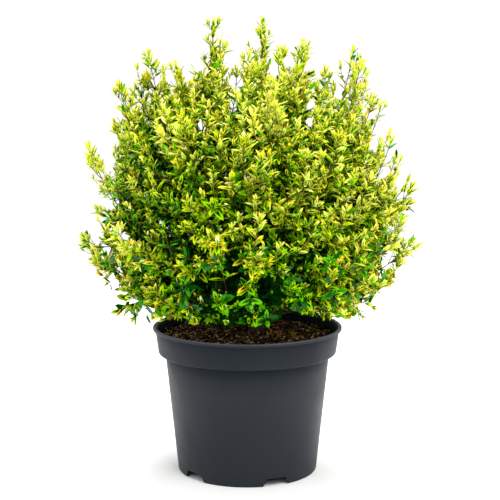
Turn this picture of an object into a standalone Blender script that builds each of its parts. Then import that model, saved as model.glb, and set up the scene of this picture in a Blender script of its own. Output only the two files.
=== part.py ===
"""A potted variegated myrtle: a small globe-shaped shrub in a five-litre nursery pot.

Metres, +Z up. The origin is the centre of the pot's flat underside. The view that the
shrub is known from looks along +Y, so -Y is the front.
"""

import math
import random

import bmesh
import bpy
from mathutils import Vector, kdtree
from mathutils.bvhtree import BVHTree

# Pot, a turned plastic shell
RIM_RADIUS = 0.1155
POT_HEIGHT = 0.178
LIP_DEPTH = 0.0036
LIP_ROUNDING = 0.0012
COLLAR_TOP_RADIUS = 0.1125
COLLAR_BOTTOM_RADIUS = 0.1089
COLLAR_BOTTOM = 0.146
COLLAR_CHAMFER = 0.0014
STEP_DROP = 0.0035
WALL_TOP_RADIUS = 0.1001
FOOT_RADIUS = 0.0854
FOOT_ROUNDING = 0.0014
WALL = 0.0019
DRAFT = 0.0004
FLOOR_PAD_RADIUS = 0.064
CHANNEL_HEIGHT = 0.010
POT_SEGMENTS = 40
SMOOTH_DEG = 35.0

# Drain notches in the foot, between the wall's base and the floor's channel
NOTCHES = 5
FIRST_NOTCH_DEG = -48.2
NOTCH_TOP_WIDTH = 0.0245
NOTCH_FOOT_WIDTH = 0.0335
NOTCH_HEIGHT = 0.0096
NOTCH_INNER_RADIUS = 0.072
NOTCH_OUTER_RADIUS = 0.092
NOTCH_BELOW = 0.002

# Compost
SOIL_EDGE_HEIGHT = 0.165
SOIL_TOP_HEIGHT = 0.1685
SOIL_FLAT_RADIUS = 0.030
SOIL_RINGS = 3
SOIL_LUMP = 0.0011
SOIL_EDGE_LUMP = 0.4
# Size, count round the pot, and turn from ring to ring of each wave in its top
SOIL_WAVES = ((1.0, 3, 1.7), (0.7, 7, -2.3))

CLEARANCE = 0.0003

# Trunk, from its flat cut on the compost to its fork
TRUNK_FOOT = Vector((0.012, 0.006, SOIL_TOP_HEIGHT + CLEARANCE))
TRUNK_FORK = Vector((0.003, 0.001, 0.2125))
TRUNK_RADII = ((0.0, 0.0098), (0.08, 0.0080), (0.25, 0.0069), (0.55, 0.0064), (0.85, 0.0067), (1.0, 0.0063))
TRUNK_SIDES = 12
FLARE_LOBES = 4
FLARE_DEPTH = 0.12
FLARE_SHARE = 0.2
FLARE_TURN = 0.6
LIMB_SMOOTH_DEG = 50.0

# Crown: the leafy globe, its flat underside, and the main boughs that fill it
CROWN_CENTRE = Vector((0.0, 0.0, 0.335))
CROWN_HALF_WIDTH = 0.190
CROWN_RISE = 0.172
CROWN_DROP = 0.230
CROWN_FLOOR = 0.197
LEAF_FLOOR = 0.1865

# Each ring of boughs: how many, first azimuth, tip's angle above the fork, length of the
# stem's reach as a share of the crown, height on the trunk, and offset from its middle
BOUGH_RINGS = {
    "low": (6, 12.0, 18.0, 0.88, 0.187, 0.0),
    "mid": (5, 40.0, 46.0, 0.88, 0.199, 0.0),
    "top": (3, 76.0, 74.0, 0.90, 0.2035, 0.0037),
}
BOUGH_BASE_RADIUS = 0.0025
BOUGH_TIP_RADIUS = 0.0017
BOUGH_LENGTH = {"low": 0.052, "mid": 0.064, "top": 0.072}
BOUGH_SIDES = 5
BOUGH_RING_COUNT = 5
BOUGH_BEND_ACROSS = 0.62
BOUGH_BEND_UP = 0.40
BOUGH_SAMPLES = 8
AXIS_STEPS = 24

# Tall shoots that stand out of the globe in the front view: across, up and back
LEADER_TIPS = (
    (-0.041, 0.0, 0.546),
    (0.018, 0.012, 0.549),
    (-0.119, 0.010, 0.511),
    (0.066, -0.015, 0.518),
    (0.127, 0.005, 0.513),
    (0.096, 0.030, 0.490),
    (0.036, -0.050, 0.506),
    (-0.080, -0.020, 0.488),
    (-0.150, -0.010, 0.469),
    (-0.192, 0.0, 0.399),
    (-0.198, -0.010, 0.284),
    (-0.188, 0.035, 0.322),
    (-0.158, -0.012, 0.196),
    (0.161, -0.010, 0.452),
    (0.182, 0.010, 0.387),
    (0.198, -0.012, 0.352),
    (0.204, 0.012, 0.284),
    (0.183, -0.045, 0.252),
    (0.150, -0.020, 0.193),
    (-0.133, 0.012, 0.492),
    (0.142, 0.000, 0.484),
    (0.172, -0.020, 0.408),
    (0.190, 0.008, 0.305),
    (-0.158, 0.020, 0.428),
    (-0.167, -0.030, 0.262),
    (0.010, 0.085, 0.520),
    (-0.060, 0.120, 0.495),
    (0.075, 0.150, 0.455),
    (-0.100, 0.165, 0.400),
    (0.030, -0.130, 0.478),
    (-0.070, -0.150, 0.440),
    (0.100, -0.150, 0.420),
)

# Shoots that fill the globe between the leaders, and the leaves on them
FILL_SHOOTS = 117
FILL_LOWEST_DEG = -47.0
FILL_SHARES = (0.95, 1.03)
STEM_RINGS = 7
STEM_SIDES = 5
TWIG_BASE_RADIUS = 0.0017
TWIG_TIP_RADIUS = 0.0010
TWIG_SIDES = 3
TWIG_LIFTS = (0.95, 0.5, 0.2)
TWIG_CURVE = 0.45
TWIG_STEPS = 8
BEST_LEAN = 0.78
LEAN_COST = 1.6
SHORTEST_TWIG = 0.5
END_TO_PAIR = 0.35
LOWEST_PAIR = 0.3
SIDE_AIM = Vector((0.31, 0.95, 0.07))
NODE_HALF = 0.0012
LEAF_LENGTH = 0.033
LEAF_WIDTH = 0.0165
LEAF_THICKNESS = 0.0013
LEAF_WIDEST = 0.45
LEAF_ROLL_DEG = 24.0
PAIR_SPACING = 0.0135
LEADER_SCALE = 0.80
MOST_PAIRS = {"leader": 4, "fill": 2}
LEAF_SPREAD_DEG = (40.0, 50.0, 56.0, 60.0)
SHRINKS = (1.0, 0.8, 0.62)
SPACE_MARGIN = 0.0010
LIMB_ROOM = 0.0060
SHARED_REACH = 0.915
SAMPLE_SPACING = 0.002

# Cores that make the masses dense, each a lumpy body inside the room of its mass
CORE_REACH = 0.875
CORE_MARGIN = 0.0015
CORE_LUMPS = 0.07
CORE_DIRECTIONS = {"low": 40, "mid": 64, "top": 64}
CORE_PLACE = 0.70
CORE_LIFT = 0.006
CORE_SETBACK = 0.004

# Masses whose leaves graze each other, where the exact solver leaves edges that touch
MANIFOLD_MASSES = ("top_3",)

# Step of a search along a line for the edge of the room there
RAY_STEP = 0.002

SEED = 41
TINY = 1e-6
UP = Vector((0.0, 0.0, 1.0))
GOLDEN_ANGLE = math.pi * (3 - math.sqrt(5))


def clear_scene():
    for obj in list(bpy.data.objects):
        bpy.data.objects.remove(obj)


def material(name, colour, roughness, metallic=0.0):
    made = bpy.data.materials.new(name)
    made.use_nodes = True
    shader = made.node_tree.nodes["Principled BSDF"]
    shader.inputs["Base Color"].default_value = (*colour, 1.0)
    shader.inputs["Roughness"].default_value = roughness
    shader.inputs["Metallic"].default_value = metallic
    made.diffuse_color = (*colour, 1.0)
    return made


def mesh_object(name, points, faces, finish=None, collection=None):
    mesh = bpy.data.meshes.new(name)
    mesh.from_pydata([tuple(p) for p in points], [], faces)
    mesh.update()
    obj = bpy.data.objects.new(name, mesh)
    (collection or bpy.context.scene.collection).objects.link(obj)
    if finish:
        mesh.materials.append(finish)
    return obj


def smooth(obj, angle_deg=SMOOTH_DEG):
    obj.data.shade_smooth()
    obj.data.set_sharp_from_angle(angle=math.radians(angle_deg))


def turned(profile, segments, height_at=None):
    """Points and faces of a closed profile of (radius, height) turned round Z.

    The profile runs clockwise seen with radius to the right, so its outside faces out.
    A radius of 0 is one point on the axis.
    """
    points, rings = [], []
    for index, (radius, height) in enumerate(profile):
        if radius == 0.0:
            rings.append([len(points)] * segments)
            points.append(Vector((0.0, 0.0, height)))
            continue
        rings.append(list(range(len(points), len(points) + segments)))
        for k in range(segments):
            angle = 2 * math.pi * k / segments
            lift = height_at(index, angle) if height_at else 0.0
            points.append(Vector((radius * math.cos(angle), radius * math.sin(angle), height + lift)))
    faces = []
    for upper, lower in zip(rings, rings[1:] + rings[:1]):
        for k in range(segments):
            n = (k + 1) % segments
            corners = [upper[k], lower[k], lower[n], upper[n]]
            kept = [c for i, c in enumerate(corners) if c != corners[i - 1]]
            if len(kept) > 2:
                faces.append(kept)
    return points, faces


def arc(centre, radius, start_deg, end_deg, steps):
    """Points of a rounding in the profile's plane, in the order start to end."""
    angles = [math.radians(start_deg + (end_deg - start_deg) * k / steps) for k in range(steps + 1)]
    return [(centre[0] + radius * math.cos(a), centre[1] + radius * math.sin(a)) for a in angles]


def inner_radius(height):
    """Radius of the pot's inner surface at a height."""
    step = COLLAR_BOTTOM - STEP_DROP
    if height > COLLAR_BOTTOM:
        share = (height - COLLAR_BOTTOM) / (POT_HEIGHT - COLLAR_BOTTOM)
        return COLLAR_BOTTOM_RADIUS + share * (COLLAR_TOP_RADIUS - COLLAR_BOTTOM_RADIUS) - WALL
    return FOOT_RADIUS + min(height, step) / step * (WALL_TOP_RADIUS - FOOT_RADIUS) - WALL


def pot_profile():
    """The shell's outline, down its outside, along its underside and up its inside."""
    lip_under = POT_HEIGHT - LIP_DEPTH
    step = COLLAR_BOTTOM - STEP_DROP
    lip_top = arc((RIM_RADIUS - LIP_ROUNDING, POT_HEIGHT - LIP_ROUNDING), LIP_ROUNDING, 90, 0, 2)
    collar = [
        (RIM_RADIUS, lip_under),
        (COLLAR_TOP_RADIUS, lip_under),
        (COLLAR_BOTTOM_RADIUS, COLLAR_BOTTOM + COLLAR_CHAMFER),
        (COLLAR_BOTTOM_RADIUS - COLLAR_CHAMFER, COLLAR_BOTTOM),
        (WALL_TOP_RADIUS, step),
    ]
    foot = arc((FOOT_RADIUS - FOOT_ROUNDING, FOOT_ROUNDING), FOOT_ROUNDING, 0, -90, 1)
    underside = [
        (FOOT_RADIUS - WALL - 2 * DRAFT, 0.0),
        (FOOT_RADIUS - WALL - DRAFT, CHANNEL_HEIGHT),
        (FLOOR_PAD_RADIUS + 2 * DRAFT, CHANNEL_HEIGHT),
        (FLOOR_PAD_RADIUS, 0.0),
        (0.0, 0.0),
    ]
    floor = CHANNEL_HEIGHT + WALL
    inside = [
        (0.0, WALL),
        (FLOOR_PAD_RADIUS - WALL, WALL),
        (FLOOR_PAD_RADIUS - WALL + 2 * DRAFT, floor),
        (inner_radius(floor), floor),
        (inner_radius(step), step + WALL),
        (COLLAR_BOTTOM_RADIUS - WALL, COLLAR_BOTTOM + WALL),
        (COLLAR_TOP_RADIUS - WALL, POT_HEIGHT - LIP_ROUNDING),
        (COLLAR_TOP_RADIUS - WALL + LIP_ROUNDING, POT_HEIGHT),
    ]
    return lip_top + collar + foot + underside + inside


def notch_cutter(index):
    """A radial prism, wider at the foot, that opens one drain notch."""
    turn = math.radians(FIRST_NOTCH_DEG + index * 360 / NOTCHES - 90)
    along = Vector((math.cos(turn), math.sin(turn), 0.0))
    across = Vector((-math.sin(turn), math.cos(turn), 0.0))
    widen = NOTCH_FOOT_WIDTH + (NOTCH_FOOT_WIDTH - NOTCH_TOP_WIDTH) * NOTCH_BELOW / NOTCH_HEIGHT
    section = (
        (-widen / 2, -NOTCH_BELOW),
        (widen / 2, -NOTCH_BELOW),
        (NOTCH_TOP_WIDTH / 2, NOTCH_HEIGHT),
        (-NOTCH_TOP_WIDTH / 2, NOTCH_HEIGHT),
    )
    points = [
        along * radius + across * side + UP * height
        for radius in (NOTCH_INNER_RADIUS, NOTCH_OUTER_RADIUS)
        for side, height in section
    ]
    faces = [(3, 2, 1, 0), (4, 5, 6, 7), (0, 1, 5, 4), (1, 2, 6, 5), (2, 3, 7, 6), (3, 0, 4, 7)]
    cutter = mesh_object(f"notch_cutter_{index + 1}", points, faces)
    face_out(cutter)
    hide_helper(cutter)
    return cutter


def face_out(obj):
    """Turns every face of a closed mesh outward."""
    shape = bmesh.new()
    shape.from_mesh(obj.data)
    bmesh.ops.recalc_face_normals(shape, faces=shape.faces)
    shape.to_mesh(obj.data)
    shape.free()


def hide_helper(obj):
    obj.hide_render = True
    obj.display_type = "WIRE"


def cut(obj, cutter):
    modifier = obj.modifiers.new(f"cut_{cutter.name}", "BOOLEAN")
    modifier.operation = "DIFFERENCE"
    modifier.object = cutter
    modifier.solver = "EXACT"


def build_pot(finish):
    points, faces = turned(pot_profile(), POT_SEGMENTS)
    pot = mesh_object("pot", points, faces, finish)
    face_out(pot)
    smooth(pot)
    for index in range(NOTCHES):
        cut(pot, notch_cutter(index))
    return pot


def soil_profile():
    """Rings of the compost's top from its rim in, then its underside along the floor."""
    floor = CHANNEL_HEIGHT + WALL + CLEARANCE
    pad = WALL + CLEARANCE
    step = COLLAR_BOTTOM - STEP_DROP
    side = [
        (inner_radius(SOIL_EDGE_HEIGHT) - CLEARANCE, SOIL_EDGE_HEIGHT),
        (inner_radius(COLLAR_BOTTOM + WALL) - 2 * CLEARANCE, COLLAR_BOTTOM + WALL + 2 * CLEARANCE),
        (inner_radius(step) - 2 * CLEARANCE, step + WALL + CLEARANCE),
        (inner_radius(floor) - 2 * CLEARANCE, floor),
        (FLOOR_PAD_RADIUS - WALL - DRAFT, floor),
        (FLOOR_PAD_RADIUS - WALL - 3 * DRAFT, pad),
        (0.0, pad),
    ]
    top = [(0.0, SOIL_TOP_HEIGHT)]
    edge = side[0][0]
    for ring in range(SOIL_RINGS):
        share = ring / SOIL_RINGS
        radius = SOIL_FLAT_RADIUS + share * (edge - SOIL_FLAT_RADIUS)
        height = SOIL_TOP_HEIGHT + share**2 * (SOIL_EDGE_HEIGHT - SOIL_TOP_HEIGHT)
        top.append((radius, height))
    return top + side


def soil_lumps(index, angle):
    """Uneven height of the compost's top, level under the trunk."""
    if not 2 <= index <= SOIL_RINGS + 1:
        return 0.0
    wave = sum(size * math.sin(count * angle + turn * index) for size, count, turn in SOIL_WAVES)
    return SOIL_LUMP * wave * (SOIL_EDGE_LUMP if index == SOIL_RINGS + 1 else 1.0)


def build_soil(finish):
    points, faces = turned(soil_profile(), POT_SEGMENTS, soil_lumps)
    soil = mesh_object("compost", points, faces, finish)
    face_out(soil)
    smooth(soil)
    return soil


def trunk_mesh(grow=0.0):
    """The trunk's level rings, each radius grown by the same amount."""
    points, faces = [], []
    shares = [share for share, _ in TRUNK_RADII]
    for share, radius in TRUNK_RADII:
        middle = TRUNK_FOOT.lerp(TRUNK_FORK, share)
        if grow and share in (shares[0], shares[-1]):
            middle = middle + UP * (grow if share else -grow)
        for k in range(TRUNK_SIDES):
            angle = 2 * math.pi * k / TRUNK_SIDES
            wave = math.cos(FLARE_LOBES * angle + FLARE_TURN)
            lobes = FLARE_DEPTH * max(0.0, 1 - share / FLARE_SHARE) * wave
            reach = radius * (1 + lobes) + grow
            points.append(middle + Vector((math.cos(angle), math.sin(angle), 0.0)) * reach)
    for ring in range(len(TRUNK_RADII) - 1):
        for k in range(TRUNK_SIDES):
            n = (k + 1) % TRUNK_SIDES
            low, high = ring * TRUNK_SIDES, (ring + 1) * TRUNK_SIDES
            faces.append((low + k, low + n, high + n, high + k))
    faces.append(tuple(reversed(range(TRUNK_SIDES))))
    faces.append(tuple(range(len(points) - TRUNK_SIDES, len(points))))
    return points, faces


def build_trunk(finish):
    trunk = mesh_object("trunk", *trunk_mesh(), finish)
    smooth(trunk, LIMB_SMOOTH_DEG)
    return trunk


def crown_reach(direction, share=1.0):
    """Distance from the crown's centre to a share of the globe's surface, or to its floor."""
    across = math.hypot(direction.x, direction.y) / CROWN_HALF_WIDTH
    along = direction.z / (CROWN_RISE if direction.z > 0 else CROWN_DROP)
    reach = share / math.hypot(across, along)
    if direction.z < 0:
        reach = min(reach, (CROWN_CENTRE.z - CROWN_FLOOR) / -direction.z)
    return reach


def in_crown(point, share=1.0):
    away = point - CROWN_CENTRE
    return away.length < TINY or away.length <= crown_reach(away.normalized(), share)


def bezier(a, b, c, share):
    return a.lerp(b, share).lerp(b.lerp(c, share), share)


def bough_axes():
    """Middle line of each bough and of the stem that carries on from it, by name."""
    axes = {}
    for ring, (count, first_deg, rise_deg, share, height, offset) in BOUGH_RINGS.items():
        for k in range(count):
            turn = math.radians(first_deg + 360 * k / count)
            out = Vector((math.cos(turn), math.sin(turn), 0.0))
            level = (height - TRUNK_FOOT.z) / (TRUNK_FORK.z - TRUNK_FOOT.z)
            start = TRUNK_FOOT.lerp(TRUNK_FORK, level) + out * offset
            rise = math.radians(rise_deg)
            aim = out * math.cos(rise) + UP * math.sin(rise)
            end = start + aim * 2 * CROWN_HALF_WIDTH
            while not in_crown(end, share):
                end = end - aim * RAY_STEP
            across = Vector((end.x - start.x, end.y - start.y, 0.0))
            bend = start + across * BOUGH_BEND_ACROSS + UP * (end.z - start.z) * BOUGH_BEND_UP
            axes[f"{ring}_{k + 1}"] = [
                bezier(start, bend, end, step / AXIS_STEPS) for step in range(AXIS_STEPS + 1)
            ]
    return axes


def lengths_along(line):
    total, along = 0.0, [0.0]
    for a, b in zip(line, line[1:]):
        total += (b - a).length
        along.append(total)
    return along


def point_along(line, distance):
    """Point and unit direction at a distance along a line of points."""
    along = lengths_along(line)
    for k in range(len(line) - 1):
        if distance <= along[k + 1] or k == len(line) - 2:
            step = along[k + 1] - along[k]
            direction = (line[k + 1] - line[k]).normalized()
            return line[k] + direction * min(max(distance - along[k], 0.0), step), direction
    return line[-1], (line[-1] - line[-2]).normalized()


def stretch(line, start, end, count):
    """count points evenly along part of a line."""
    return [point_along(line, start + (end - start) * k / (count - 1))[0] for k in range(count)]


def headings(line, start, end, count):
    """Unit directions of the line at the points that stretch gives."""
    return [point_along(line, start + (end - start) * k / (count - 1))[1] for k in range(count)]


def cloud(lines):
    """Search tree of points closely spaced along some lines."""
    points = []
    for line in lines:
        length = lengths_along(line)[-1]
        points += stretch(line, 0.0, length, max(2, math.ceil(length / SAMPLE_SPACING)))
    tree = kdtree.KDTree(len(points))
    for index, point in enumerate(points):
        tree.insert(point, index)
    tree.balance()
    return tree


def clear_by(point, tree):
    return tree.find(point)[2]


class Space:
    """The room of one mass, clear of every limb.

    Inside the globe it is what lies nearest the mass's own axis. Outside, where the shoots
    stand apart, it is what lies nearest the mass's own shoots.
    """

    def __init__(self, name, axes, shoots, limbs):
        others = [other for other in axes if other != name]
        self.own_axis = cloud([axes[name]])
        self.other_axes = cloud([axes[other] for other in others])
        self.own_shoots = cloud([axes[name]] + shoots[name])
        self.other_shoots = cloud([line for other in others for line in [axes[other]] + shoots[other]])
        self.limbs = limbs

    def holds(self, point, margin=SPACE_MARGIN):
        if point.z < LEAF_FLOOR + margin or clear_by(point, self.limbs) < LIMB_ROOM:
            return False
        if in_crown(point, SHARED_REACH):
            lead = clear_by(point, self.other_axes) - clear_by(point, self.own_axis)
        else:
            lead = clear_by(point, self.other_shoots) - clear_by(point, self.own_shoots)
        return lead > 2 * margin


def frames(line, aheads=None):
    """Unit direction and two sideways vectors at each point, turned as little as possible."""
    made = []
    side = None
    for k in range(len(line)):
        ahead = (line[min(k + 1, len(line) - 1)] - line[max(k - 1, 0)]).normalized()
        if aheads:
            ahead = aheads[k]
        if side is None:
            side = ahead.cross(SIDE_AIM).normalized()
        side = (side - ahead * side.dot(ahead)).normalized()
        made.append((ahead, side, ahead.cross(side)))
    return made


def tube_mesh(line, radii, sides, aheads=None):
    """A closed tapering limb with flat ends."""
    points, faces = [], []
    for centre, radius, (_, side, other) in zip(line, radii, frames(line, aheads)):
        for k in range(sides):
            angle = 2 * math.pi * k / sides
            points.append(centre + (side * math.cos(angle) + other * math.sin(angle)) * radius)
    for ring in range(len(line) - 1):
        for k in range(sides):
            n = (k + 1) % sides
            low, high = ring * sides, (ring + 1) * sides
            faces.append((low + k, low + n, high + n, high + k))
    faces.append(tuple(reversed(range(sides))))
    faces.append(tuple(range(len(points) - sides, len(points))))
    return points, faces


def tapered(start, end, count):
    return [start + (end - start) * k / (count - 1) for k in range(count)]


def build_boughs(axes, finish):
    """One limb for each axis, cut clear of the trunk's fork."""
    cutter = mesh_object("fork_cutter", *trunk_mesh(CLEARANCE))
    hide_helper(cutter)
    for name, axis in axes.items():
        part = (axis, 0.0, BOUGH_LENGTH[name.split("_")[0]], BOUGH_RING_COUNT)
        radii = tapered(BOUGH_BASE_RADIUS, BOUGH_TIP_RADIUS, BOUGH_RING_COUNT)
        shape = tube_mesh(stretch(*part), radii, BOUGH_SIDES, headings(*part))
        bough = mesh_object(f"bough_{name}", *shape, finish)
        smooth(bough, LIMB_SMOOTH_DEG)
        cut(bough, cutter)


def crown_tips(rng):
    """Tip and kind of all shoots: the leaders, and a seeded spiral that covers the globe."""
    tips = [(Vector(tip), "leader") for tip in LEADER_TIPS]
    lowest = math.sin(math.radians(FILL_LOWEST_DEG))
    for direction in spiral_directions(FILL_SHOOTS, lowest):
        reach = crown_reach(direction, rng.uniform(*FILL_SHARES))
        tips.append((CROWN_CENTRE + direction * reach, "fill"))
    return tips


def twig_line(stem, tip, lift):
    """A curved line from the stem to a tip, which leaves at a natural angle and turns up."""
    best = None
    for k in range(1, len(stem) - 1):
        away = tip - stem[k]
        ahead = (stem[k + 1] - stem[k]).normalized()
        lean = away.normalized().dot(ahead)
        cost = away.length * (1 + LEAN_COST * (lean - BEST_LEAN) ** 2)
        if best is None or cost < best[0]:
            best = (cost, stem[k])
    root = best[1]
    heading = ((tip - CROWN_CENTRE).normalized() + UP * lift).normalized()
    bend = tip - heading * TWIG_CURVE * (tip - root).length
    return [bezier(root, bend, tip, step / TWIG_STEPS) for step in range(TWIG_STEPS + 1)]


def fitted_twig(stem, tip, own_axis, other_axes):
    """The most upturned line to a tip that stays nearest its own axis inside the globe."""
    for lift in TWIG_LIFTS:
        line = twig_line(stem, tip, lift)
        inner = [point for point in line[2:] if in_crown(point, SHARED_REACH)]
        leads = [clear_by(point, other_axes) - clear_by(point, own_axis) for point in inner]
        if all(lead > 4 * SPACE_MARGIN for lead in leads):
            return line
    return None


class Leaf:
    """A keeled pointed blade: its widest section has a left, a right and a keel point."""

    def __init__(self, root, ahead, outward, spread_deg, roll_deg, length):
        spread, roll = math.radians(spread_deg), math.radians(roll_deg)
        aim = ahead * math.cos(spread) + outward * math.sin(spread)
        side = ahead.cross(outward)
        above = aim.cross(side)
        side, above = (
            side * math.cos(roll) + above * math.sin(roll),
            above * math.cos(roll) - side * math.sin(roll),
        )
        half = LEAF_WIDTH * length / LEAF_LENGTH / 2
        widest = root + aim * length * LEAF_WIDEST
        self.root = root
        self.left = widest - side * half
        self.right = widest + side * half
        self.keel = widest - above * LEAF_THICKNESS
        self.tip = root + aim * length

    def fits(self, space):
        near_root = [self.root.lerp(point, 0.5) for point in (self.left, self.right)]
        outline = [self.left, self.right, self.keel, self.tip] + near_root
        return all(space.holds(point) for point in outline) and not in_crown(self.tip, CORE_REACH)

    def points(self):
        return [self.left, self.keel, self.right, self.tip]


def fitted_leaf(space, root, ahead, outward, spread_deg, roll_deg, length):
    """The longest leaf, of a few lengths, that stays in the mass's space, or None."""
    for shrink in SHRINKS:
        leaf = Leaf(root, ahead, outward, spread_deg, roll_deg, length * shrink)
        if leaf.fits(space):
            return leaf
    return None


def crosses(points, faces, more):
    """Whether new faces cut through faces of the same body that they don't share a corner with."""
    old = BVHTree.FromPolygons(points, faces)
    new = BVHTree.FromPolygons(points, more)
    return any(not set(faces[a]) & set(more[b]) for a, b in old.overlap(new))


def sprout(points, corners, leaf):
    """Grows a leaf out of one side of a twig, between its lower and upper corners.

    Returns the leaf's faces, with its four points added to the body's.
    """
    low_left, low_right, high_right, high_left = corners
    left, keel, right, tip = range(len(points), len(points) + 4)
    points += leaf.points()
    return [
        (high_right, high_left, left, right),
        (high_left, low_left, left),
        (low_left, keel, left),
        (low_left, low_right, keel),
        (low_right, right, keel),
        (low_right, high_right, right),
        (left, keel, tip),
        (keel, right, tip),
        (right, left, tip),
    ]


def shoot_mesh(space, line, kind):
    """One closed body: a three-sided twig, crossed pairs of leaves, and a leaf at its end."""
    scale = LEADER_SCALE if kind == "leader" else 1.0
    leaf_length, spacing = LEAF_LENGTH * scale, PAIR_SPACING * scale
    length = lengths_along(line)[-1]
    end = max(length - leaf_length, SHORTEST_TWIG * length)
    nodes = [end - (pair + END_TO_PAIR) * spacing for pair in range(MOST_PAIRS[kind])]
    nodes = [at for at in reversed(nodes) if at > LOWEST_PAIR * length]
    centres = [point_along(line, 0.0)[0]]
    for at in nodes:
        centres += [point_along(line, at - NODE_HALF)[0], point_along(line, at + NODE_HALF)[0]]
    centres.append(point_along(line, end)[0])
    radii = tapered(TWIG_BASE_RADIUS, TWIG_TIP_RADIUS, len(centres))
    turned_frames = frames(centres)

    def around(ring, angle_deg):
        _, side, other = turned_frames[ring]
        angle = math.radians(angle_deg)
        return side * math.cos(angle) + other * math.sin(angle)

    def phase(ring):
        node = min(max((ring - 1) // 2, 0), max(len(nodes) - 1, 0))
        return -30.0 * node

    points, faces = [], []
    for ring, (centre, radius) in enumerate(zip(centres, radii)):
        for corner in range(TWIG_SIDES):
            points.append(centre + around(ring, phase(ring) + 60 + 120 * corner) * radius)
    for ring in range(len(centres) - 1):
        node = (ring - 1) // 2 if ring % 2 else None
        if node is not None and node >= len(nodes):
            node = None
        for side in range(TWIG_SIDES):
            before = (side - 1) % TWIG_SIDES
            corners = (3 * ring + before, 3 * ring + side, 3 * ring + 3 + side, 3 * ring + 3 + before)
            leaf = None
            if node is not None and side in (node % 3, (node + 2) % 3):
                first = side == node % 3
                outward = around(ring, phase(ring) + 30 + 120 * node + (0 if first else 180))
                root = (centres[ring] + centres[ring + 1]) / 2 + outward * radii[ring] / 2
                from_tip = len(nodes) - 1 - node
                spread = LEAF_SPREAD_DEG[from_tip]
                ahead = turned_frames[ring][0]
                leaf = fitted_leaf(space, root, ahead, outward, spread, LEAF_ROLL_DEG, leaf_length)
            grown = sprout(points, corners, leaf) if leaf else []
            if grown and crosses(points, faces, grown):
                del points[-4:]
                grown = []
            faces += grown or [corners]
    faces.append((2, 1, 0))
    last = len(centres) - 1
    node = max(len(nodes) - 1, 0)
    keel_deg = phase(last) + 30 + 120 * node
    keel_way = around(last, keel_deg)
    ahead = turned_frames[last][0]
    leaf = fitted_leaf(space, centres[last], ahead, keel_way, 0.0, 0.0, leaf_length)
    corner = [3 * last + (node + k) % 3 for k in range(3)]
    if leaf is None:
        faces.append(tuple(corner))
        return points, faces
    left, keel, right, tip_point = range(len(points), len(points) + 4)
    points += leaf.points()
    faces += [
        (corner[0], corner[1], right, keel),
        (corner[1], corner[2], left, right),
        (corner[2], corner[0], keel, left),
        (left, keel, tip_point),
        (keel, right, tip_point),
        (right, left, tip_point),
    ]
    return points, faces


def spiral_directions(count, lowest=-1.0):
    """Unit directions spread evenly over a sphere, from straight up down to a lowest height."""
    made = []
    for k in range(count):
        z = 1 - (1 - lowest) * (k + 0.5) / count
        across = math.sqrt(1 - z * z)
        turn = k * GOLDEN_ANGLE
        made.append(Vector((across * math.cos(turn), across * math.sin(turn), z)))
    return made


def core_mesh(space, stem, directions, rng):
    """A lumpy body round the middle of the stem, which fills the room left on each side."""
    middle = point_along(stem, CORE_PLACE * lengths_along(stem)[-1])[0] + UP * CORE_LIFT
    onward = (stem[1] - stem[0]).normalized()

    def has_room(point):
        beyond_bough = (point - stem[0]).dot(onward) > CORE_SETBACK
        return beyond_bough and in_crown(point, CORE_REACH) and space.holds(point, CORE_MARGIN)

    ball = bmesh.new()
    for direction in spiral_directions(directions):
        ball.verts.new(direction)
    bmesh.ops.convex_hull(ball, input=ball.verts)
    ball.verts.index_update()
    points = []
    for vertex in ball.verts:
        aim = vertex.co.normalized()
        reach = RAY_STEP
        while has_room(middle + aim * reach):
            reach += RAY_STEP
        points.append(middle + aim * (reach - RAY_STEP) * (1 - CORE_LUMPS * rng.random()))
    faces = [[vertex.index for vertex in face.verts] for face in ball.faces]
    ball.free()
    return points, faces


def fuse(name, stem_part, parts, solver, finish):
    """One solid from a stem and what grows on it, by one Boolean union on a collection."""
    collection = bpy.data.collections.new(f"{name}_parts")
    bpy.context.scene.collection.children.link(collection)
    for index, (points, faces) in enumerate(parts):
        piece = mesh_object(f"{name}_part_{index}", points, faces, collection=collection)
        face_out(piece)
    mass = mesh_object(name, *stem_part, finish)
    face_out(mass)
    union = mass.modifiers.new("union", "BOOLEAN")
    union.operation = "UNION"
    union.operand_type = "COLLECTION"
    union.collection = collection
    union.solver = solver
    graph = bpy.context.evaluated_depsgraph_get()
    joined = bpy.data.meshes.new_from_object(mass.evaluated_get(graph))
    mass.modifiers.clear()
    mass.data = joined
    joined.materials.clear()
    joined.materials.append(finish)
    for piece in list(collection.objects):
        bpy.data.objects.remove(piece)
    bpy.data.collections.remove(collection)
    return mass


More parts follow.
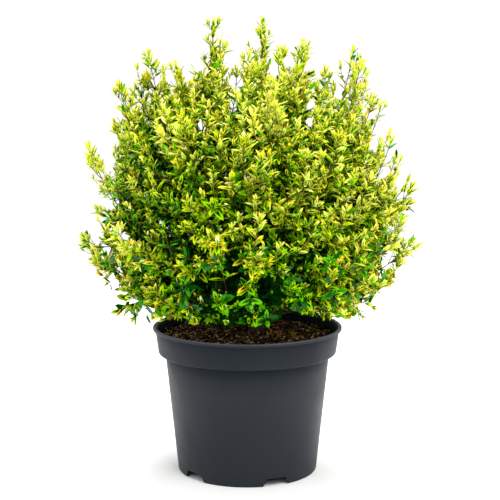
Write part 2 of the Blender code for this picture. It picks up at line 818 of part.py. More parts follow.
def build_masses(axes, finish):
    """One mass of foliage on each bough: a stem, its core, twigs and leaves, all fused."""
    rng = random.Random(SEED)
    stems, limbs = {}, [[TRUNK_FOOT, TRUNK_FORK]]
    for name, axis in axes.items():
        bough_end = BOUGH_LENGTH[name.split("_")[0]]
        stems[name] = (axis, bough_end + CLEARANCE, lengths_along(axis)[-1], STEM_RINGS)
        limbs.append(stretch(axis, 0.0, bough_end, BOUGH_SAMPLES))
    own = {name: cloud([axis]) for name, axis in axes.items()}
    rest = {name: cloud([axes[other] for other in axes if other != name]) for name in axes}
    shoots = {name: [] for name in axes}
    for tip, kind in crown_tips(rng):
        name = min(axes, key=lambda candidate: clear_by(tip, own[candidate]))
        line = fitted_twig(stretch(*stems[name]), tip, own[name], rest[name])
        if line:
            shoots[name].append((line, kind))
    lines = {name: [line for line, _ in grown] for name, grown in shoots.items()}
    limb_cloud = cloud(limbs)
    for name in axes:
        stem = stretch(*stems[name])
        space = Space(name, axes, lines, limb_cloud)
        parts = [core_mesh(space, stem, CORE_DIRECTIONS[name.split("_")[0]], rng)]
        parts += [shoot_mesh(space, line, kind) for line, kind in shoots[name]]
        radii = tapered(BOUGH_TIP_RADIUS, TWIG_TIP_RADIUS, STEM_RINGS)
        stem_part = tube_mesh(stem, radii, STEM_SIDES, headings(*stems[name]))
        solver = "MANIFOLD" if name in MANIFOLD_MASSES else "EXACT"
        fuse(f"foliage_{name}", stem_part, parts, solver, finish)


def main():
    clear_scene()
    plastic = material("pot_plastic", (0.055, 0.060, 0.066), 0.45)
    compost = material("compost", (0.045, 0.028, 0.018), 0.95)
    bark = material("bark", (0.20, 0.13, 0.08), 0.85)
    leaves = material("variegated_leaves", (0.38, 0.47, 0.06), 0.5)
    build_pot(plastic)
    build_soil(compost)
    build_trunk(bark)
    axes = bough_axes()
    build_boughs(axes, bark)
    build_masses(axes, leaves)


main()
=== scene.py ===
"""Looks of the potted variegated myrtle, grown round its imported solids.

Metres, in the frame of the solids: the pot stands on z = 0 and its axis is Z. The camera
looks along +Y. The crown grows by the same rule as the solids, from the same stems to the
same tips, and is carried on to finer shoots, each with its crossed pairs of leaves.
"""

import math
import random
from collections import namedtuple

import bmesh
import bpy
import numpy as np
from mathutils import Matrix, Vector, kdtree, noise

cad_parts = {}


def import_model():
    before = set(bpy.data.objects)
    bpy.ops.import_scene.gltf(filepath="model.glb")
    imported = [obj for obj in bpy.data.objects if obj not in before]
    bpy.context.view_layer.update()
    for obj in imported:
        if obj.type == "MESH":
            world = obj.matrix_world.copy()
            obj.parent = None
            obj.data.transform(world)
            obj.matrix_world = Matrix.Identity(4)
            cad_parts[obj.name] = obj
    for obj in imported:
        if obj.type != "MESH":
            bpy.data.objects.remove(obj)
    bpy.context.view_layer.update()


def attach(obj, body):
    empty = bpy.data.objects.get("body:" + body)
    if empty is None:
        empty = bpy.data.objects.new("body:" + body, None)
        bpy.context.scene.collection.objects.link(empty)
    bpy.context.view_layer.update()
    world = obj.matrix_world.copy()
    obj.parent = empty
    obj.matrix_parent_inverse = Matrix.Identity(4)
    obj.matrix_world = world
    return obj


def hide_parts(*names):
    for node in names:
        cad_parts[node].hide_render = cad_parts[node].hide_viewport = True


# Camera, fitted to the pot's ellipses in the photograph
IMAGE_SIZE = 500
FOCAL_PIXELS = 1247.0
SENSOR_WIDTH = 36.0
POT_AXIS_PIXEL = 247.3
CAMERA_DISTANCE = 1.5
CAMERA_HEIGHT = 0.478
CAMERA_PITCH_DEG = 7.87

# Studio: its white floor and soft lights, each with its name, place, size and power
FLOOR_REACH = 1.7
FLOOR_ALBEDO = 0.875
WORLD_STRENGTH = 1.05
LIGHTS = (
    ("key", (0.80, -1.6, 2.2), 1.4, 39.5),
    ("left_fill", (-1.7, -1.0, 1.3), 1.2, 6.0),
    ("right_fill", (1.7, -1.0, 1.0), 1.2, 5.0),
    ("top", (0.0, 0.8, 2.4), 1.4, 76.0),
)

# Pot, as in the solids, with more segments
RIM_RADIUS = 0.1155
POT_HEIGHT = 0.178
LIP_DEPTH = 0.0036
LIP_ROUNDING = 0.0014
LIP_FOOT_ROUNDING = 0.0008
MOUTH_ROUNDING = 0.0020
COLLAR_TOP_RADIUS = 0.1125
COLLAR_BOTTOM_RADIUS = 0.1089
COLLAR_BOTTOM = 0.146
COLLAR_ROUNDING = 0.0016
CREASE = 0.0006
STEP_DROP = 0.0035
WALL_TOP_RADIUS = 0.1001
FOOT_RADIUS = 0.0854
FOOT_ROUNDING = 0.0018
WALL = 0.0019
DRAFT = 0.0004
FLOOR_PAD_RADIUS = 0.064
CHANNEL_HEIGHT = 0.010
POT_SEGMENTS = 192
POT_SMOOTH_DEG = 34.0
NOTCHES = 5
FIRST_NOTCH_DEG = -48.2
NOTCH_TOP_WIDTH = 0.0245
NOTCH_FOOT_WIDTH = 0.0335
NOTCH_HEIGHT = 0.0096
NOTCH_INNER_RADIUS = 0.072
NOTCH_OUTER_RADIUS = 0.092
NOTCH_BELOW = 0.002
# Depth of the painted highlight along the top of the lip
LIP_HIGHLIGHT_DEPTH = 0.0012

# Compost, and the crumbs, fibres and fallen leaves that lie on it
SOIL_EDGE_HEIGHT = 0.165
SOIL_TOP_HEIGHT = 0.1685
SOIL_RINGS = 60
SOIL_SEGMENTS = 300
# Size of each kind of clod, and how far it swings the surface
SOIL_CLODS = ((0.016, 0.0022), (0.006, 0.0016), (0.0022, 0.0009))
CLOD_SHIFT = 900
CRUMBS = 4600
CRUMB_REACH = 0.985
CRUMB_SIZE = 0.0006
CRUMB_GROWTH = 0.0019
CRUMB_RARITY = 2.6
STRAW_SIZE = 0.7
CRUMB_BREADTHS = (0.6, 1.0)
CRUMB_HEIGHTS = (0.35, 0.8)
CRUMB_BUMPS = (0.75, 1.2)
CRUMB_LIFT = 0.35
FIBRES = 420
FIBRE_REACH = 0.92
FIBRE_LENGTHS = (0.004, 0.016)
FIBRE_HALVES = (0.00012, 0.0003)
FIBRE_STEPS = 6
FIBRE_BEND = 1.6
FIBRE_LIFT = 0.0006
FIBRE_RIPPLE = 0.0008
FIBRE_EDGE = 0.001
STRAND_END = 0.35
STRAND_HEIGHT = 0.7
LITTER = 150
LITTER_LENGTHS = (0.0035, 0.0075)
LITTER_HALF_WIDTH = 0.2
LITTER_FOLD = 0.07
LITTER_LIFT = 0.0016
LITTER_RISES = (-0.1, 0.3)
LITTER_TILTS = (-0.4, 0.4)
LITTER_PATCH = Vector((0.046, -0.018, 0.0))
LITTER_SPREAD = 0.18
LITTER_REACH = 0.93
CLEARANCE = 0.0003

# Trunk and boughs
TRUNK_FOOT = Vector((0.012, 0.006, SOIL_TOP_HEIGHT + CLEARANCE))
TRUNK_FORK = Vector((0.003, 0.001, 0.2125))
TRUNK_RADII = ((0.0, 0.0098), (0.08, 0.0080), (0.25, 0.0069), (0.55, 0.0064), (0.85, 0.0067), (1.0, 0.0063))
TRUNK_SIDES = 72
TRUNK_RINGS = 90
TRUNK_SINK = 0.003
SINK_SHARE = 0.1
FORK_CLOSES = 0.94
FLARE_LOBES = 4
FLARE_DEPTH = 0.12
FLARE_SHARE = 0.2
FLARE_TURN = 0.6
BARK_RIDGE = 0.0007
BOUGH_RIDGE = 0.12
# How closely the bark's furrows and its grain are set, across and along the limb
FURROWS = (420, 90)
BARK_GRAIN = (1100, 260)
FURROW_DEPTH = 1.6
GRAIN_DEPTH = 0.35
SIDE_AIM = Vector((0.31, 0.95, 0.07))
LEAST_SIDE = 0.1

# Crown
CROWN_CENTRE = Vector((0.0, 0.0, 0.335))
CROWN_HALF_WIDTH = 0.190
CROWN_RISE = 0.172
CROWN_DROP = 0.230
CROWN_FLOOR = 0.197
LEAF_FLOOR = 0.1865

# Each ring of boughs: how many, first azimuth, tip's angle above the fork, length of the
# stem's reach as a share of the crown, height on the trunk, and offset from its middle
BOUGH_RINGS = {
    "low": (6, 12.0, 18.0, 0.88, 0.187, 0.0),
    "mid": (5, 40.0, 46.0, 0.88, 0.199, 0.0),
    "top": (3, 76.0, 74.0, 0.90, 0.2035, 0.0037),
}
# Radii at a bough's base and tip, and at the tip of the stem that carries it on
BOUGH_RADII = (0.0025, 0.0017, 0.0007)
BOUGH_LENGTH = {"low": 0.052, "mid": 0.064, "top": 0.072}
BOUGH_BEND_ACROSS = 0.62
BOUGH_BEND_UP = 0.40
AXIS_STEPS = 24
STEM_RINGS = 7
LIMB_SIDES = 12
LIMB_RINGS = 60
RAY_STEP = 0.002

# Tips of tall shoots that stand out of the globe in the front view: across, back and up
LEADER_TIPS = (
    (-0.041, 0.0, 0.546), (0.018, 0.012, 0.549), (-0.119, 0.010, 0.511), (0.066, -0.015, 0.518),
    (0.127, 0.005, 0.513), (0.096, 0.030, 0.490), (0.036, -0.050, 0.506), (-0.080, -0.020, 0.488),
    (-0.150, -0.010, 0.469), (-0.192, 0.0, 0.399), (-0.198, -0.010, 0.284), (-0.188, 0.035, 0.322),
    (-0.158, -0.012, 0.196), (0.161, -0.010, 0.452), (0.182, 0.010, 0.387), (0.198, -0.012, 0.352),
    (0.204, 0.012, 0.284), (0.183, -0.045, 0.252), (0.150, -0.020, 0.193), (-0.133, 0.012, 0.492),
    (0.142, 0.000, 0.484), (0.172, -0.020, 0.408), (0.190, 0.008, 0.305), (-0.158, 0.020, 0.428),
    (-0.167, -0.030, 0.262), (0.010, 0.085, 0.520), (-0.060, 0.120, 0.495), (0.075, 0.150, 0.455),
    (-0.100, 0.165, 0.400), (0.030, -0.130, 0.478), (-0.070, -0.150, 0.440), (0.100, -0.150, 0.420),
)
# Tips of shorter plumes between them
PLUME_TIPS = (
    (-0.1020, 0.022, 0.4917), (-0.0840, -0.018, 0.4946), (0.0423, -0.026, 0.5128),
    (-0.0130, 0.016, 0.4899), (0.0014, -0.012, 0.5075), (0.0680, 0.030, 0.5230),
    (-0.0330, 0.012, 0.5300), (-0.0304, 0.020, 0.5090), (0.1990, 0.022, 0.3591),
    (-0.1985, -0.018, 0.2923), (0.1530, 0.016, 0.4577), (-0.1531, -0.012, 0.4723),
    (0.1340, -0.022, 0.4980), (-0.1567, 0.012, 0.2045), (-0.1110, 0.022, 0.1895),
    (0.1260, -0.018, 0.1955), (-0.1400, 0.020, 0.1985), (0.1080, -0.026, 0.1915),
    (0.1020, -0.020, 0.1900), (0.1190, -0.012, 0.1890),
)

# Shoots that fill the globe, and how they leave the stems, by the rule of the solids
FILL_SHOOTS = 117
FILL_LOWEST_DEG = -47.0
FILL_SHARES = (0.95, 1.03)
TWIG_CURVE = 0.45
BEST_LEAN = 0.78
LEAN_COST = 1.6
SAMPLE_SPACING = 0.002
SEED = 41
LINE_POINTS = 9

# Finer shoots, in layers: how many, lowest angle, their tips' share of the crown's reach, and
# how far below its tip each leaves its parent
LAYERS = (
    ("tall", 150, -38.0, (0.97, 1.05), (0.050, 0.080)),
    ("outer", 1960, -52.0, (0.78, 0.975), (0.026, 0.052)),
    ("inner", 880, -58.0, (0.56, 0.80), (0.022, 0.044)),
    ("core", 360, -62.0, (0.28, 0.56), (0.018, 0.034)),
)
LAYER_STRAY = 0.04
HEADING_STRAY = 0.3
LAYER_ABOVE_FLOOR = 0.006
ROOT_INWARD = 0.15
PARENT_POINTS = 16
TOP_OPENING = 0.9
TOP_OPENING_START = 0.42
TOP_DIP = 0.05

# How steeply shoots turn up, high and low on the crown, and how they bend
UPRIGHT_HIGH = (1.6, 3.4)
UPRIGHT_LOW = (0.1, 0.9)
SHOOT_CURVE = 0.55
LEADER_LIFTS = (0.3, 2.6)
LEADER_CURVE = 0.58
LEADER_STEEPNESS = 0.92
LOW_LEADER = 0.36
LEADER_GOLD = -0.10
LEAST_LEADER_GOLD = 0.43

# Side shoots round each tall one: how many, how far down, aside, and their own length
COMPANIONS = 9
FRONT_COMPANIONS = 5
FRONT_BEFORE = -0.08
COMPANION_DROP = (0.009, 0.070)
COMPANION_ASIDE = (0.006, 0.020)
COMPANION_REACH = (0.013, 0.028)
COMPANION_OUT = 0.3
COMPANION_LIFT = 0.4
COMPANION_GOLD = 0.04

# Rosettes of large old leaves low on the crown
OLD_ROSETTES = 84
OLD_ANGLES_DEG = (-52.0, -12.0)
OLD_SHARES = (0.97, 1.03)
OLD_REACH = (0.018, 0.034)
OLD_LIFTS = (-0.1, 0.7)
OLD_STRAY = 0.08
OLD_ABOVE_FLOOR = 0.008

# Underside of the leaves: its slope, its sides, its unevenness, and a hollow at the front
UNDER_SLOPE = 0.20
UNDER_SLOPE_START = 0.055
UNDER_SIDE = 0.100
UNDER_SIDE_RISE = -0.002
UNDER_SWING = 0.007
UNDER_SWING_SIZE = 0.045
HOLLOW = Vector((0.046, -0.100, 0.0))
HOLLOW_RADIUS = 0.056
HOLLOW_RISE = 0.022

# Golden shoots that stand forward, and dark pockets, as the front view sees them: across and up,
# and a pocket's radius
FRONT_SPRAYS = (
    (-0.0713, 0.3040), (-0.0425, 0.3310), (-0.0040, 0.4100), (0.0177, 0.3885),
    (0.0730, 0.3908), (-0.1290, 0.2759), (-0.1002, 0.4448), (-0.1603, 0.2993),
    (-0.0449, 0.2923), (-0.0720, 0.3330), (0.0153, 0.2650),
)
FRONT_SHARE = 1.03
FRONT_GOLD = 0.10
POCKETS = (
    (-0.0136, 0.2594, 0.011), (-0.0136, 0.2876, 0.010), (0.0730, 0.3157, 0.012),
    (0.0060, 0.2620, 0.005), (-0.1002, 0.4283, 0.009), (0.0441, 0.4283, 0.011),
    (-0.0713, 0.4002, 0.011), (-0.0425, 0.4002, 0.010), (0.1019, 0.3861, 0.014),
    (-0.1002, 0.3439, 0.012), (-0.1290, 0.3439, 0.010), (0.0441, 0.3439, 0.012),
    (0.0730, 0.2876, 0.013), (-0.0280, 0.2360, 0.014), (-0.0713, 0.2618, 0.010),
    (0.0180, 0.2300, 0.011),
)
POCKET_SHARE = 0.96
PLACE_STEPS = 12

# Openings that show the sky in the front view: across, up, and radius
OPENINGS = (
    (0.1476, 0.1929, 0.0068), (-0.1835, 0.2817, 0.0054), (0.1692, 0.2202, 0.0058),
    (-0.1649, 0.2325, 0.0064), (0.0318, 0.4900, 0.0066), (-0.1599, 0.4063, 0.0048),
    (-0.1251, 0.1941, 0.0062), (0.1852, 0.3570, 0.0060), (-0.0514, 0.5164, 0.0046),
    (0.1577, 0.4218, 0.0046), (0.1420, 0.2030, 0.0056), (-0.1556, 0.4527, 0.0056),
    (0.1702, 0.3895, 0.0060), (-0.1313, 0.4846, 0.0050), (-0.1959, 0.2670, 0.0050),
    (-0.1567, 0.2065, 0.0056), (-0.1808, 0.2988, 0.0056), (0.0734, 0.4917, 0.0056),
    (0.0496, 0.4976, 0.0056), (-0.0229, 0.5011, 0.0054), (0.0091, 0.5164, 0.0044),
    (-0.0347, 0.5304, 0.0038), (0.1623, 0.4397, 0.0054), (0.1184, 0.1817, 0.0058),
    (0.1100, 0.1829, 0.0058), (0.1572, 0.2090, 0.0054), (0.1859, 0.2424, 0.0052),
    (-0.1300, 0.1892, 0.0054), (-0.1663, 0.3799, 0.0058), (-0.0921, 0.4776, 0.0048),
    (0.1354, 0.4811, 0.0050), (-0.1547, 0.4337, 0.0052), (0.0650, 0.2035, 0.0030),
    (0.1175, 0.4846, 0.0060), (-0.1868, 0.3497, 0.0055), (-0.1736, 0.3087, 0.0050),
    (-0.1530, 0.2172, 0.0045), (0.1867, 0.3377, 0.0062), (-0.0569, 0.4929, 0.0060),
    (-0.0700, 0.4811, 0.0045), (0.1718, 0.2602, 0.0080), (0.1645, 0.3660, 0.0064),
    (0.1094, 0.4617, 0.0062), (0.1524, 0.3983, 0.0058), (-0.1407, 0.2074, 0.0060),
    (-0.1093, 0.4777, 0.0051), (-0.0183, 0.4757, 0.0051), (-0.0089, 0.4752, 0.0052),
    (-0.1688, 0.3273, 0.0056), (-0.0166, 0.4440, 0.0051), (0.1476, 0.4339, 0.0047),
    (-0.1579, 0.2490, 0.0047), (0.0744, 0.4267, 0.0047), (0.0760, 0.4463, 0.0047),
    (-0.0560, 0.4217, 0.0047), (-0.1585, 0.3318, 0.0037), (-0.1673, 0.3684, 0.0042),
    (-0.1689, 0.2741, 0.0042), (-0.1488, 0.2870, 0.0037), (-0.1768, 0.3643, 0.0037),
)

# Share of yellow in the leaves: at the bottom, at the top, height where it is reached, its change to the
# right and on the low sides, its ripple, and how it falls with depth. The greener, darker leaves deep
# inside and low in the middle are partly the plant's own green and partly painted shade.
GOLD_LOW = 0.13
GOLD_HIGH = 0.62
GOLD_FULL_HEIGHT = 0.74
GOLD_ASIDE = 0.09
GOLD_MOST_ASIDE = 0.3
GOLD_LOW_SIDES = 0.26
GOLD_RIPPLE = 0.26
RIPPLES_PER_METRE = 14.0
GOLD_SPREAD = 0.13
GOLD_DEPTH_START = 0.97
GREENER_BY_DEPTH = 1.5

# Wide drifts of greener, darker and yellower, paler leaves, partly the plant's own variegation and partly
# painted shade and painted light on parts of the crown: across, up, reach and change
GOLD_DRIFTS = (
    (-0.085, 0.365, 0.090, -0.28), (0.020, 0.220, 0.085, -0.20), (0.000, 0.330, 0.070, -0.08),
    (0.010, 0.490, 0.065, 0.08), (-0.042, 0.205, 0.028, 0.18), (-0.165, 0.350, 0.060, 0.07),
    (-0.125, 0.220, 0.060, 0.22), (0.112, 0.225, 0.045, 0.20), (-0.060, 0.330, 0.060, 0.02),
    (0.150, 0.430, 0.060, -0.06), (-0.140, 0.270, 0.060, 0.10), (0.150, 0.270, 0.060, 0.06),
    (0.030, 0.380, 0.050, -0.07), (-0.030, 0.316, 0.030, 0.14), (0.015, 0.260, 0.026, 0.16),
    (-0.042, 0.485, 0.030, 0.14), (0.102, 0.288, 0.026, 0.10), (-0.014, 0.320, 0.024, 0.08),
    (-0.014, 0.272, 0.032, -0.28),
)

# Yellow at a shoot's tip, and how a leaf's centre and margin differ from it
TIP_GOLD = 0.35
CENTRE_DARKER = 0.45
MARGIN_PALER = 0.19
# Chance that a leaf of the first pairs gets an amber or a cream margin; the cream is partly painted
# highlight
RARE_MARGINS = 0.065
RARE_PAIRS = 3
PLAIN_BELOW = 0.12
PLAIN_CHANCE = 0.12
COLOUR_SPREAD = 0.12

# Leaves of a tall shoot and of the others, from the tip inwards: length, spread from the
# shoot in degrees, and gap to the next pair
LEADER_LEAVES = (
    (0.0118, 15.0, 0.0024),
    (0.0136, 26.0, 0.0048),
    (0.0156, 40.0, 0.0088),
    (0.0168, 48.0, 0.0116),
    (0.0176, 53.0, 0.0132),
    (0.0180, 56.0, 0.0140),
)
SHOOT_LEAVES = (
    (0.0072, 18.0, 0.0024),
    (0.0092, 30.0, 0.0040),
    (0.0108, 41.0, 0.0058),
    (0.0120, 49.0, 0.0070),
    (0.0126, 54.0, 0.0078),
    (0.0128, 57.0, 0.0082),
)
OLD_LEAVES = (
    (0.0078, 22.0, 0.0014),
    (0.0094, 40.0, 0.0020),
    (0.0128, 60.0, 0.0034),
    (0.0160, 74.0, 0.0072),
    (0.0170, 78.0, 0.0090),
)

# How each kind of shoot grows: radii of its wood, most pairs of leaves, their size and the gaps
# between them, how much darker each pair is, chance of a tuft and of a sprig in an axil, its
# leaves, and the sides and rings of its wood
Kind = namedtuple(
    "Kind",
    "wood pairs size gap darker tuft sprig leaves sides rings",
    defaults=(1.0, 1.0, 0.10, 0.0, 0.0, SHOOT_LEAVES, 3, 6),
)
KINDS = {
    "leader": Kind((0.0010, 0.00045), 12, 1.0, 1.0, 0.04, 0.8, 0.42, LEADER_LEAVES, 5, 12),
    "side": Kind((0.0006, 0.0004), 6, 0.90, 0.85, 0.06, 0.4, leaves=LEADER_LEAVES),
    "tall": Kind((0.0007, 0.0004), 7, 0.90, 0.9, 0.06, 0.6, leaves=LEADER_LEAVES),
    "outer": Kind((0.00048, 0.0003), 8, 0.92, 0.95, tuft=0.16),
    "inner": Kind((0.0005, 0.0003), 7, 0.96),
    "core": Kind((0.0006, 0.0003), 6, 1.05),
    "old": Kind((0.0005, 0.0004), 5, darker=0.20, leaves=OLD_LEAVES),
    "sprig": Kind((0.00045, 0.0003), 5, 0.95, 0.8, rings=4),
    "tuft": Kind((0.0003, 0.0002), 2, 0.66, 0.55, rings=3),
}
YOUNG_WOOD_SHARE = 0.55

# Leaves: the uppermost pair's distance from the tip, the bare foot of a shoot, and widths, which
# are broader low on the crown
TIP_LEAF = 0.0070
BARE_SHARE = 0.14
NARROW_RATIO = 0.174
BROAD_RATIO = 0.238
BROAD_BELOW = 0.30
BROAD_RANGE = 0.09
BROAD_GROWTH = 0.08
LEAF_FOLD = 0.34
LIGHT_PULL = 0.45

# How far leaves stray from their rule
PAIR_STRAY = 0.16
CROSS_STRAY = 0.08
SPREAD_STRAY_DEG = 8.0
LEAF_STRAY = 0.25
LEAF_SIZES = (0.82, 1.14)
LEAF_WIDTHS = (0.88, 1.12)
GAP_SIZES = (0.8, 1.2)
CURLS = (0.02, 0.24)

# Side growth in the axils: first pair that has it, its lengths, and how it leaves its parent
AXIL_FIRST_PAIR = 2
TUFT_LENGTHS = (0.0055, 0.0095)
SPRIG_LENGTH = 0.011
SPRIG_GROWTH = 0.0034
LONGEST_SPRIG = 0.036
SPRIG_SIZES = (0.75, 1.2)
SPRIG_OUT = 0.2
SPRIG_LIFT = 0.4
SPRIG_STEPS = 4
SPRIG_GOLD = 0.04
SPRIG_GREENER = 0.012

UP = Vector((0.0, 0.0, 1.0))
LIGHTS_AIM = Vector((0.0, 0.0, 0.3))
GOLDEN_ANGLE = math.pi * (3 - math.sqrt(5))


def linear(red, green, blue):
    """Linear colour of an sRGB colour given as 0 to 255."""
    shares = [part / 255 for part in (red, green, blue)]
    return tuple(s / 12.92 if s <= 0.04045 else ((s + 0.055) / 1.055) ** 2.4 for s in shares)


# Leaf colours from the dark inside of the crown to the pale tips; the cream and the pale are partly painted
# highlight, standing for glints on the leaves
LEAF_COLOURS = (
    ("leaf_deep", linear(3, 44, 0)),
    ("leaf_dark", linear(14, 80, 0)),
    ("leaf_green", linear(42, 134, 0)),
    ("leaf_mid", linear(88, 174, 2)),
    ("leaf_fresh", linear(132, 200, 4)),
    ("leaf_lime", linear(164, 206, 8)),
    ("leaf_bright", linear(200, 214, 18)),
    ("leaf_yellow", linear(226, 212, 34)),
    ("leaf_pale", linear(240, 232, 96)),
    ("leaf_cream_and_highlight", linear(250, 240, 172)),
    ("leaf_amber", linear(244, 198, 36)),
    ("leaf_glossy", linear(16, 88, 10)),
)
# Roughness and specular level of the shinier colours
LEAF_SHEENS = {
    "leaf_glossy": (0.22, 0.22),
    "leaf_bright": (0.34, 0.16),
    "leaf_yellow": (0.34, 0.22),
    "leaf_pale": (0.34, 0.30),
}
GLOSSY = len(LEAF_COLOURS) - 1
AMBER = GLOSSY - 1
CREAM_AND_HIGHLIGHT = AMBER - 1
PALEST = CREAM_AND_HIGHLIGHT - 1
OLD_MARGINS = (GLOSSY, GLOSSY, 2, 3)
WOOD_COLOURS = (
    ("wood_old", linear(46, 34, 10)),
    ("wood_young", linear(100, 88, 24)),
)


def mesh_object(name, points, faces, kinds=None, finishes=()):
    """A smooth object of points and faces, with a material number for each face."""
    mesh = bpy.data.meshes.new(name)
    mesh.from_pydata(points, [], faces)
    for finish in finishes:
        mesh.materials.append(finish)
    if kinds is not None:
        mesh.polygons.foreach_set("material_index", kinds)
    mesh.shade_smooth()
    obj = bpy.data.objects.new(name, mesh)
    bpy.context.scene.collection.objects.link(obj)
    return obj


class Bits:
    """Points, triangles and material numbers of many small shapes that make one piece."""

    def __init__(self):
        self.points, self.triangles, self.kinds = [], [], []

    def add(self, points, triangles, kinds=None):
        base = len(self.points)
        self.points += points
        self.triangles += [tuple(base + corner for corner in face) for face in triangles]
        self.kinds += kinds or [0] * len(triangles)

    def piece(self, name, finishes):
        return mesh_object(name, self.points, self.triangles, self.kinds, finishes)


def wall_triangles(rings, sides):
    """Triangles between level rings of points, one ring after the other."""
    triangles = []
    for low in range(0, (rings - 1) * sides, sides):
        for k in range(sides):
            n = (k + 1) % sides
            high = low + sides
            triangles += [(low + k, low + n, high + n), (low + k, high + n, high + k)]
    return triangles


def face_out(obj):
    """Turns every face of a closed mesh outward."""
    shape = bmesh.new()
    shape.from_mesh(obj.data)
    bmesh.ops.recalc_face_normals(shape, faces=shape.faces)
    shape.to_mesh(obj.data)
    shape.free()


def way_at(turn, z=0.0):
    """Unit direction at a turn round the upright axis, and at a height on the unit sphere."""
    across = math.sqrt(1 - z * z)
    return Vector((across * math.cos(turn), across * math.sin(turn), z))


def random_way(rng):
    z = rng.uniform(-1, 1)
    return way_at(rng.uniform(0, 2 * math.pi), z)


def clamp(value):
    return min(max(value, 0.0), 1.0)


def dress(obj, slot, *nodes):
    """Puts a finished piece on the one body and hides the solids it stands for; its slot argument is not
    used.
    """
    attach(obj, "root")
    if nodes:
        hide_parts(*nodes)


# Materials


class Finish:
    """A node material with a principled shader, and short ways to add a pattern to it."""

    def __init__(self, name, colour, roughness, **settings):
        self.material = bpy.data.materials.new(name)
        self.material.use_nodes = True
        self.nodes = self.material.node_tree.nodes
        self.links = self.material.node_tree.links
        self.shader = self.nodes["Principled BSDF"]
        self.put("Base Color", (*colour, 1.0))
        self.put("Roughness", roughness)
        for socket, value in settings.items():
            self.put(socket.replace("_", " "), value)

    def put(self, socket, value):
        self.shader.inputs[socket].default_value = value

    def place(self):
        """Coordinates in the object's own space."""
        return self.nodes.new("ShaderNodeTexCoord").outputs["Object"]

    def noise(self, scale, detail=3.0, stretch=(1.0, 1.0, 1.0), roughness=0.5):
        """A cloudy pattern, as a value from 0 to 1."""
        mapping = self.nodes.new("ShaderNodeMapping")
        mapping.inputs["Scale"].default_value = stretch
        pattern = self.nodes.new("ShaderNodeTexNoise")
        pattern.inputs["Scale"].default_value = scale
        pattern.inputs["Detail"].default_value = detail
        pattern.inputs["Roughness"].default_value = roughness
        self.links.new(self.place(), mapping.inputs["Vector"])
        self.links.new(mapping.outputs["Vector"], pattern.inputs["Vector"])
        return pattern.outputs["Fac"]

    def ramp(self, value, *stops):
        """Colours or greys at shares of a value."""
        node = self.nodes.new("ShaderNodeValToRGB")
        elements = node.color_ramp.elements
        while len(elements) < len(stops):
            elements.new(0.5)
        for element, (place, colour) in zip(elements, stops):
            element.position = place
            element.color = (*colour, 1.0) if isinstance(colour, tuple) else (colour, colour, colour, 1.0)
        self.links.new(value, node.inputs["Fac"])
        return node.outputs["Color"]

    def height(self, top, low=0.0):
        """Share of the way from a low height of the object to a top one."""
        split = self.nodes.new("ShaderNodeSeparateXYZ")
        self.links.new(self.place(), split.inputs["Vector"])
        share = self.nodes.new("ShaderNodeMapRange")
        share.inputs["From Min"].default_value = low
        share.inputs["From Max"].default_value = top
        self.links.new(split.outputs["Z"], share.inputs["Value"])
        return share.outputs["Result"]

    def paler_above(self, plain, height, blend, pale):
        """A colour that turns to a paler one over a short rise above a height of the object."""
        mix = self.nodes.new("ShaderNodeMix")
        mix.data_type = "RGBA"
        self.links.new(self.height(height + blend, height), mix.inputs["Factor"])
        self.links.new(plain, mix.inputs["A"])
        mix.inputs["B"].default_value = (*pale, 1.0)
        return mix.outputs["Result"]

    def drive(self, socket, value):
        self.links.new(value, self.shader.inputs[socket])

    def bump(self, strength, distance, *heights):
        """Adds up relief, each height feeding the next one's normal."""
        normal = None
        for height in heights:
            node = self.nodes.new("ShaderNodeBump")
            node.inputs["Strength"].default_value = strength
            node.inputs["Distance"].default_value = distance
            self.links.new(height, node.inputs["Height"])
            if normal:
                self.links.new(normal, node.inputs["Normal"])
            normal = node.outputs["Normal"]
        self.links.new(normal, self.shader.inputs["Normal"])


# How much the plastic shines at shares of the pot's height; the dip just under its collar and lip is
# painted shade
POT_SHINE_AND_PAINTED_SHADE = (
    (0.0, 0.215),
    (0.62, 0.22),
    (0.72, 0.16),
    (0.775, 0.075),
    (0.812, 0.05),
    (0.822, 0.19),
    (0.835, 0.14),
    (0.93, 0.11),
    (0.972, 0.06),
    (0.984, 0.24),
)


def pot_finish():
    """Moulded dark grey plastic: a fine grain, faint cloudy sheen, painted shade in its shine just under
    the collar and lip, and a painted highlight along the top of the lip.
    """
    finish = Finish("moulded_plastic", (0.008, 0.0115, 0.016), 0.46)
    # Painted shade: the shine drops away just under the collar and just under the lip.
    finish.drive("Specular IOR Level", finish.ramp(finish.height(POT_HEIGHT), *POT_SHINE_AND_PAINTED_SHADE))
    clouds = finish.noise(9.0, detail=4.0, stretch=(1.0, 1.0, 0.5))
    plain = finish.ramp(clouds, (0.3, (0.0072, 0.0106, 0.0148)), (0.7, (0.0106, 0.0142, 0.0192)))
    # Painted highlight: a paler grey along the top of the lip.
    lip_highlighted = finish.paler_above(plain, POT_HEIGHT - LIP_HIGHLIGHT_DEPTH, LIP_HIGHLIGHT_DEPTH, (0.15, 0.16, 0.18))
    finish.drive("Base Color", lip_highlighted)
    finish.drive("Roughness", finish.ramp(finish.noise(30.0), (0.3, 0.46), (0.7, 0.56)))
    grain = finish.noise(1500.0, detail=2.0)
    finish.bump(0.10, 0.0004, grain, finish.noise(120.0, detail=2.0, stretch=(1.0, 1.0, 0.35)))
    return finish.material


